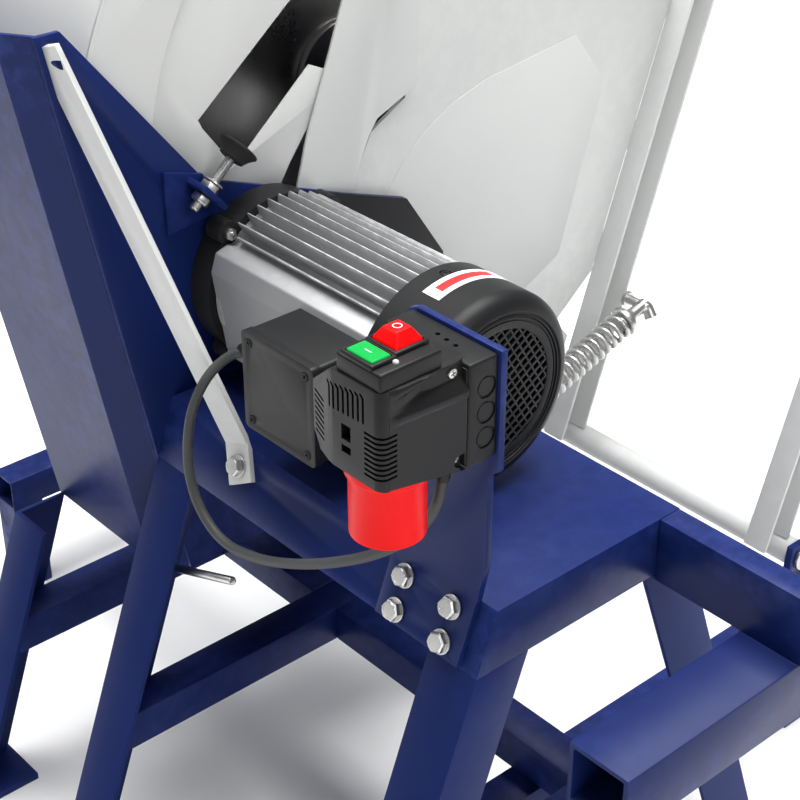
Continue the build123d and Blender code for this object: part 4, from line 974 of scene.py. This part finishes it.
def rear_box():
    """Back half of the switch case, with a row of knock-outs in its right side."""
    body = rounded(block(96, COVER_X, SEAM_Y + 0.5, -114.1, 45, 131), 2.6, 4)
    well = [(-1.5, 0), (-1.5, 9.3), (3, 9.3), (3, 0)]
    disc = [(-3, 0), (-3, 7.7), (-0.9, 7.7), (-0.5, 7.2), (-0.5, 0)]
    cutters = [turned(well, at(COVER_X, -125.5, z), (1, 0, 0), 40, False) for z in KNOCKOUTS]
    cutters += [turned([(-6, 0), (-6, 2.0), (3, 2.0), (3, 0)], at(x, y, 131), (0, 0, 1), 20, False)
                for x, y in ((137.0, -127.5), (147.5, -128.5), (158.0, -129.5))]
    body = carved(body, cutters)
    lip = rounded(block(99, COVER_X - 2.0, SEAM_Y - 0.5, SEAM_Y + 2, 48, 128), 1.0, 2)
    discs = [turned(disc, at(COVER_X, -125.5, z), (1, 0, 0), 40, False) for z in KNOCKOUTS]
    mesh = joined([body, lip] + discs, "rear_box")
    smooth(mesh, 35)
    new_object("rear_box_shell", mesh, "black_plastic", "base", replaces=("switch_rear",))


def button_block():
    """Raised block with a framed well for each button."""
    body = rounded(block(137.5, 184.5, -223.4, -166.5, 138, 153), 2.4, 4)
    parts = [carved(body, [from_bmesh(block(*well, 142, 160), "well") for well in BUTTON_WELLS])]
    for x0, x1, y0, y1 in BUTTON_FRAMES:
        frame_block = rounded(block(x0 - 2.6, x1 + 2.6, y0 - 2.4, y1 + 2.4, 151, 156.2), 1.6, 3)
        hole = rounded(block(x0, x1, y0, y1, 150, 160), 2.0, 3)
        parts.append(carved(frame_block, [hole]))
    mesh = joined(parts, "block")
    smooth(mesh, 35)
    new_object("button_housing", mesh, "black_plastic", "base", replaces=("button_block",))


def ring_mark(centre, radius, width, height):
    low, high = radius - width / 2, radius + width / 2
    return turned([(0, low), (0, high), (height, high), (height, low)], centre, (0, 0, 1), 40)


def buttons():
    """Flat green start cap, tapered red stop cap and the small lens beside them."""
    green = rounded(block(144.2, 171.8, -219.8, -202.2, 146.6, 157.2), 1.6, 4)
    smooth(green, 50)
    new_object("start_cap", green, "green_plastic", "start", replaces=("start_button",))
    bar = rounded(block(154.5, 161.5, -211.4, -210.6, 157.0, 157.3), 0.1, 1)
    bar.materials.append(WHITE_PRINT)
    new_object("start_mark", bar, "label", "start")
    bm = bmesh.new()
    rings = []
    for z, inset in ((146.6, 0.2), (156.6, 0.2), (157.6, 1.0), (164.6, 5.4), (165.6, 6.2)):
        x0, x1, y0, y1 = 143 + inset, 169 - inset, -196 + inset, -170 - inset
        rings.append([bm.verts.new(at(x, y, z)) for x, y in ((x0, y0), (x1, y0), (x1, y1), (x0, y1))])
    for a, b in zip(rings, rings[1:]):
        bridge(bm, a, b)
    bm.faces.new(rings[0])
    bm.faces.new(rings[-1])
    bmesh.ops.recalc_face_normals(bm, faces=bm.faces)
    red = rounded(bm, 1.6, 4, 18)
    smooth(red, 60)
    new_object("stop_cap", red, "red_plastic", "stop", replaces=("stop_button",))
    ring = ring_mark(at(156, -183, 165.45), 3.2, 0.8, 0.2)
    ring.materials.append(WHITE_PRINT)
    new_object("stop_mark", ring, "label", "stop")
    dome = [(-2, 0), (-2, 2.4), (0.4, 2.4), (1.5, 2.0), (2.1, 1.1), (2.3, 0)]
    lens = turned(dome, at(177, -203, 153), (0, 0, 1), 24, False)
    smooth(lens, 60)
    new_object("indicator_lens", lens, "lamp", "base", replaces=("indicator",))


def shroud():
    """Open red inlet cup with a rolled collar."""
    outer = [(0, 26.4), (-0.6, 27.0), (-0.6, 28.2), (0, 28.9), (49, 28.9), (50.2, 29.4), (51, 31.2),
             (52, 31.8), (62.5, 31.6), (64, 30.6), (64, 0)]
    inner = [(56, 0), (56, 26.0), (4, 26.3)]
    mesh = turned(inner + outer, at(152, -189, -2), (0, 0, 1), 128, False)
    smooth(mesh, 40)
    new_object("inlet_cup", mesh, "red_plastic", "base", replaces=("plug_shroud",))


switch_cover()
rear_box()
button_block()
buttons()
shroud()


# ================= motor barrel =================
def fin_unit():
    """One cooling fin, drawn along x with its root on the barrel and a thin rounded tip."""
    bm = bmesh.new()
    half = [(-2.9, 66), (-1.5, 70), (-1.0, 76), (-0.8, 83.2), (-0.4, 83.9)]
    section = half + [(-w, r) for w, r in reversed(half)]
    ends = []
    for x, drop in ((-213, 0.9), (-212.2, 0), (-8.8, 0), (-8, 0.9)):
        ends.append([bm.verts.new(Vector((x, w, r - (drop if r > 75 else 0))) * MM) for w, r in section])
    for a, b in zip(ends, ends[1:]):
        bridge(bm, a, b)
    bm.faces.new(ends[0])
    bm.faces.new(ends[-1])
    bmesh.ops.recalc_face_normals(bm, faces=bm.faces)
    return from_bmesh(bm, "fin")


def motor_barrel():
    """Barrel with thin fins round its upper part and the flat pad of the terminal box."""
    spots = []
    x = Vector((1, 0, 0))
    count, step = 31, 8.4
    for i in range(count):
        c = radians(-120 + i * step)
        spots.append((at(0, 0, 0), Vector((0, cos(c), sin(c))), x, ONE))
    fins = copies(fin_unit(), spots, MATERIALS["aluminium"])
    profile = [(-215, 12.3), (-215, 73), (-214, 74), (-208, 74), (-207, 69), (-206, 68), (-7.5, 68),
               (-6.5, 69), (-6, 84.2), (-0.4, 84.6), (0, 84), (0, 12.3)]
    core = turned(profile, at(0, 0, 0), x, 128)
    pad = [(-78, 30), (-72, 48), (-45, 56), (-45, -60), (-63.8, -60), (-66, -50)]
    side = rounded(prism(pad, -214.6, -6.4, lambda y, z, w: at(w, y, z)), 1.8, 4, 15)
    ears = []
    for a in (38, 132, 228, 308):
        c = radians(a)
        place = at(-216, 81 * cos(c), 81 * sin(c))
        ears.append(turned([(-1, 0), (-1, 9.6), (14, 9.6), (14, 0)], place, x, 32, False))
    core.materials.append(MATERIALS["aluminium"])
    mesh = joined([carved(joined([fins], "fins"), ears), carved(core, ears), carved(side, ears)], "barrel")
    mesh.materials.clear()
    mesh.materials.append(MATERIALS["aluminium"])
    smooth(mesh, 30)
    new_object("motor_barrel", mesh, "aluminium", "base", replaces=("motor_housing",))


motor_barrel()


# ================= hood and guard sheets =================
def sheet_yz(points, x0, x1, width=0.6):
    return rounded(prism(points, x0, x1, lambda y, z, w: at(w, y, z)), width, 2)


def ring_points(radius, a0, a1, n):
    """Arc about the hood's centre as (y, z) points."""
    y, z = HOOD_CENTRE
    turns = [radians(a0 + (a1 - a0) * i / n) for i in range(n + 1)]
    return [(y + radius * cos(a), z + radius * sin(a)) for a in turns]


def hood():
    """Fixed hood: rim band, two near sheets with a dark gap between them, and a far sheet."""
    r = HOOD_R
    strip = sheet_yz(ring_points(r, 78, 170, 40) + ring_points(r - 4, 170, 78, 40), -436, -250)
    first = ring_points(r - 72, 100, 170, 30) + [
        (-108, 150), (-100, 140), (-66, 95), (-55, 86), (32, 66), (46, 88), (65, 113), (104, 150), (112, 157),
        (72, 176), (-8, 108), (-20, 106), (-50, 147), (-54, 156), (48, 238), (120, 285), (150, 335)]
    second = ring_points(r, 78, 170, 40) + ring_points(r - 76, 170, 100, 40) + [
        (150, 330), (130, 270), (110, 230), (84, 160), (66, 114), (61.5, 101), (57, 84), (51, 64), (49, 42),
        (117, 36), (121, 46), (127, 62), (134, 78), (141, 92), (150, 104), (200, 125), (205, 230), (280, 330)]
    far = ring_points(r, 78, 170, 40) + [(-170, 60), (60, 60), (148, 128), (280, 330)]
    near = [sheet_yz(first, -256.4, -253.6), sheet_yz(second, -253, -250.2)]
    mesh = joined([strip] + near + [sheet_yz(far, -436, -433)], "hood")
    smooth(mesh, 30)
    new_object("hood_sheets", mesh, "light_paint", "base", replaces=("upper_guard",))


hood()


def cradle_sheets():
    """Round lower rail of the cradle, the web beside the upright and the raised panel of the guard."""
    wall = [(-700, 11), (-700, 14), (-699, 15), (74, 15), (75, 14), (75, 11)]
    rail = turned(wall, at(0, *HINGE), (1, 0, 0), 48)
    smooth(rail, 40)
    new_object("cradle_rail_tube", rail, "light_paint", "cradle", replaces=("cradle_rail",))
    web = [(414, -208), (300, -200), (262, -192), (270, -262), (330, -350), (398, -352), (440, -240)]
    curve = [(150, -30), (161, 0), (172, 23), (190, 46), (213, 66), (250, 88), (300, 104)]
    panel = curve + [(430, 120), (478, 60), (420, -130), (360, -160), (200, -150)]
    mesh = joined([sheet_yz(web, -257.5, -255), sheet_yz(panel, -258.2, -257.2, 0.4)], "sheets")
    smooth(mesh, 30)
    new_object("guard_panels", mesh, "light_paint", "cradle")


cradle_sheets()


# ================= screws and bolts =================
def cross_head(radius, height):
    """Screw head with a cross recess."""
    profile = [(0, 0), (0, radius), (height * 0.5, radius), (height * 0.85, radius * 0.85),
               (height, radius * 0.5), (height, 0)]
    m = turned(profile, Vector((0, 0, 0)), (0, 0, 1), 28, False)
    w, l, d = radius * 0.13 * MM, radius * 0.55 * MM, height * 0.5 * MM
    top = height * MM

    def place(u, v, h):
        return Vector((u, v, h))

    tools = [from_bmesh(prism([(-p, -q), (p, -q), (p, q), (-p, q)], top - d, top + d, place), "slot")
             for p, q in ((l, w), (w, l))]
    return carved(m, tools)


def fixings():
    """Hexagon bolts of the frame and the cross-head screws of lid, cover and cowl."""
    side = Vector((1, 0, 0))
    lean = SKIRT_OUT.cross(side)
    spots = []
    z0 = -115.0
    for a in (0, 55):
        for b in (0, 29):
            z = z0 - b
            y = -108 - SKIRT_LEAN * (-100 - z)
            turn = side if (a + b) % 2 else (side + lean * 0.35).normalized()
            spots.append((at(93 + a, y, z) + SKIRT_OUT * 6 * MM, SKIRT_OUT, turn, ONE))
    spots.append((at(-130, -108 - SKIRT_LEAN * 18, -118) + SKIRT_OUT * 5 * MM, SKIRT_OUT, side, ONE))
    head = hex_head(BOLT_AF, 6.4 * MM, 10.5 * MM, 2.0 * MM)
    shanks = []
    for p, d, _, _ in spots:
        shanks.append(turned([(-24, 0), (-24, 4.4), (-23, 4.9), (0.5, 4.9), (0.5, 0)], p, d, 20, False))
        nut = [(-19, 0), (-19, 8.8), (-18.4, 9.2), (-11.6, 9.2), (-11, 8.8), (-11, 0)]
        shanks.append(turned(nut, p, d, 6, False))
    mesh = joined([copies(head, spots, MATERIALS["zinc_steel"])] + shanks, "bolts")
    mesh.materials.clear()
    mesh.materials.append(MATERIALS["zinc_steel"])
    smooth(mesh, 30)
    new_object("frame_bolt_set", mesh, "zinc_steel", "base", replaces=("frame_bolts",))

    up = Vector((0, 0, 1))
    near = Vector((0, -1, 0))
    screw = cross_head(4.1, 2.6)
    spots = [(at(-48 + a, -132.4, -4 + b), near, (side + up * 0.4 * k).normalized(), ONE)
             for k, (a, b) in enumerate(((-37, -37), (-37, 37), (37, -37), (37, 37)))]
    dark = copies(screw, spots, MATERIALS["black_metal"])
    smooth(dark, 35)
    new_object("lid_screws", dark, "black_metal", "base", replaces=("terminal_screws",))
    turn = (up + near * 0.3).normalized()
    spots = [(at(179.0, y, z), side, turn, ONE) for y, z in COVER_SCREWS]
    bright = copies(cross_head(4.3, 3.0), spots, MATERIALS["zinc_steel"])
    smooth(bright, 35)
    new_object("cover_screw_set", bright, "zinc_steel", "base", replaces=("cover_screws",))
    spots = []
    for a in COWL_SCREW_TURNS:
        c = radians(a)
        d = Vector((0, cos(c), sin(c)))
        spots.append((at(8, 0, 0) + d * 86.9 * MM, d, side, ONE))
    seat = copies(cross_head(4.0, 1.6), spots, MATERIALS["black_metal"])
    smooth(seat, 35)
    new_object("cowl_screw_set", seat, "black_metal", "base", replaces=("cowl_screws",))


fixings()


# ================= buffer =================
def buffer_head():
    """Rubber pad on its threaded stud with two nuts and a washer."""
    c = radians(40)
    d = Vector((0, cos(c), sin(c)))
    origin = at(-230, -54, 110)
    profile = [(20, 0), (20, 10.5), (20.6, 12), (23, 13), (27, 15.2), (30.5, 18.0), (31.2, 19.0),
               (32.4, 19.5), (33.3, 19.3), (34, 18.4), (33.6, 15), (33.0, 6), (33.0, 0)]
    pad = turned(profile, origin, d, 64, False)
    smooth(pad, 38)
    new_object("buffer_head", pad, "rubber", "base", replaces=("rubber_buffer",))
    parts = []
    profile = [(-36, 0), (-36, 4.2)]
    for i in range(36):                               # threads
        along = -35.0 + 1.5 * i
        profile += [(along, 4.3), (along + 0.6, 4.95), (along + 1.2, 4.3)]
    profile += [(20, 4.3), (20, 0)]
    parts.append(turned(profile, origin, d, 32, False))
    for low in (-28, -15):
        shape = [(0, 0), (0, 8.4), (1, 9.4), (7, 9.4), (8, 8.4), (8, 0)]
        nut = turned([(low + u, r) for u, r in shape], origin, d, 6, False)
        parts.append(rounded(nut, 0.35, 2, 20))
    parts.append(turned([(-7, 4.6), (-7, 10.2), (-5.4, 10.2), (-5.4, 4.6)], origin, d, 40))
    mesh = joined(parts, "stud")
    smooth(mesh, 30)
    new_object("buffer_stud_set", mesh, "zinc_steel", "base", replaces=("buffer_stud",))


buffer_head()


# ================= spring =================
def spring_coil():
    """Wire coil hooked to the base, with a cup on the cradle; it stretches as the cradle tilts."""
    a = at(*SPRING_LOW)
    b = at(*SPRING_HIGH)
    d = (b - a).normalized()
    length = (b - a).length / MM
    x = Vector((1, 0, 0))
    s = d.cross(x).normalized()
    r, wire, pitch, steps = 14.0, 3.0, 10.8, 20
    start, stop = 22.0, length - 27.0
    path = [a + (d * -cos(radians(t)) * 8 + s * sin(radians(t)) * 8) * MM for t in range(-150, 181, 15)]
    path.append(a + d * 14 * MM)
    n = int((stop - start) / pitch * steps)
    for i in range(n + 1):
        t = i / steps * 2 * pi
        grow = max(0.12, min(1.0, i / steps))
        along = start + (stop - start) * i / n
        path.append(a + (d * along + x * cos(t) * r * grow + s * sin(t) * r * grow) * MM)
    mesh = tube_mesh("spring_wire", path, wire * MM, 3)
    smooth(mesh, 60)
    obj = in_scene("spring_wire", mesh)
    mesh.materials.clear()
    mesh.materials.append(MATERIALS["zinc_steel"])
    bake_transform(obj, "base", "cradle", start=tuple(a + d * 14 * MM), end=tuple(b - d * 30 * MM))
    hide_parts("spring")
    profile = [(-12, 0), (-12, 9.6), (-4, 10.4), (-3.4, 16.6), (-2.6, 17.4), (3, 17.6), (4, 17.0), (5, 13),
               (8, 9.4), (14, 7.6), (36, 6.8), (36, 0)]
    cup = turned(profile, b - d * 24 * MM, d, 56, False)
    down = Vector((0.55, 0, -0.83)).normalized()
    bend = []
    for i in range(13):
        t = pi / 2 * i / 12
        bend.append(b + (d * (4 + 9 * sin(t)) + down * 9 * (1 - cos(t))) * MM)
    bend.append(bend[-1] + down * 7 * MM)
    crook = tube_mesh("crook", [b - d * 6 * MM] + bend, 7.2 * MM, 5)
    profile = [(-1, 0), (-1, 7.6), (1.6, 7.6), (2.6, 6.6), (2.8, 3.4), (1.2, 3.2), (1.2, 0)]
    tip = turned(profile, bend[-1], down, 32, False)
    profile = [(0, 0), (0, 9), (4, 9), (4.4, 8.6), (4.4, 5.4), (31, 5.4), (32, 4.8), (32, 0)]
    pin_end = Vector((at(-230, 0, 0).x, bend[4].y, bend[4].z))
    pin = turned(profile, pin_end, x, 32, False)
    mesh = joined([cup, crook, tip, pin], "spring_seat")
    smooth(mesh, 40)
    new_object("spring_seat", mesh, "zinc_steel", "cradle", replaces=("spring_eye",))


spring_coil()


# ================= rounded sheet and castings =================
ROUNDED = {
    "platform": 1.6, "switch_plate": 1.0, "back_plate": 1.0, "dark_cover": 0.8, "brace_strap": 1.0,
    "terminal_base": 1.2, "terminal_lid": 1.6, "outrigger": 1.6, "stop_bracket": 0.8,
    "platform_legs": 1.0, "case_legs": 1.0, "cross_tubes": 2.0, "long_tubes": 2.0, "pivot_arms": 2.0,
    "pivot_lugs": 0.8, "uprights": 0.8, "log_vees": 0.8, "spring_anchor": 0.6,
    "drive_shield": 1.0, "tie_bolts": 0.5, "arbor_pillar": 0.8, "bearing_housing": 1.0,
    "arbor_nut": 1.0, "blade_flanges": 1.0, "cradle_handle": 1.5, "hinge_pin": 0.8, "lock_pin": 0.8,
}
for node, width in ROUNDED.items():
    softened(node, width * MM)
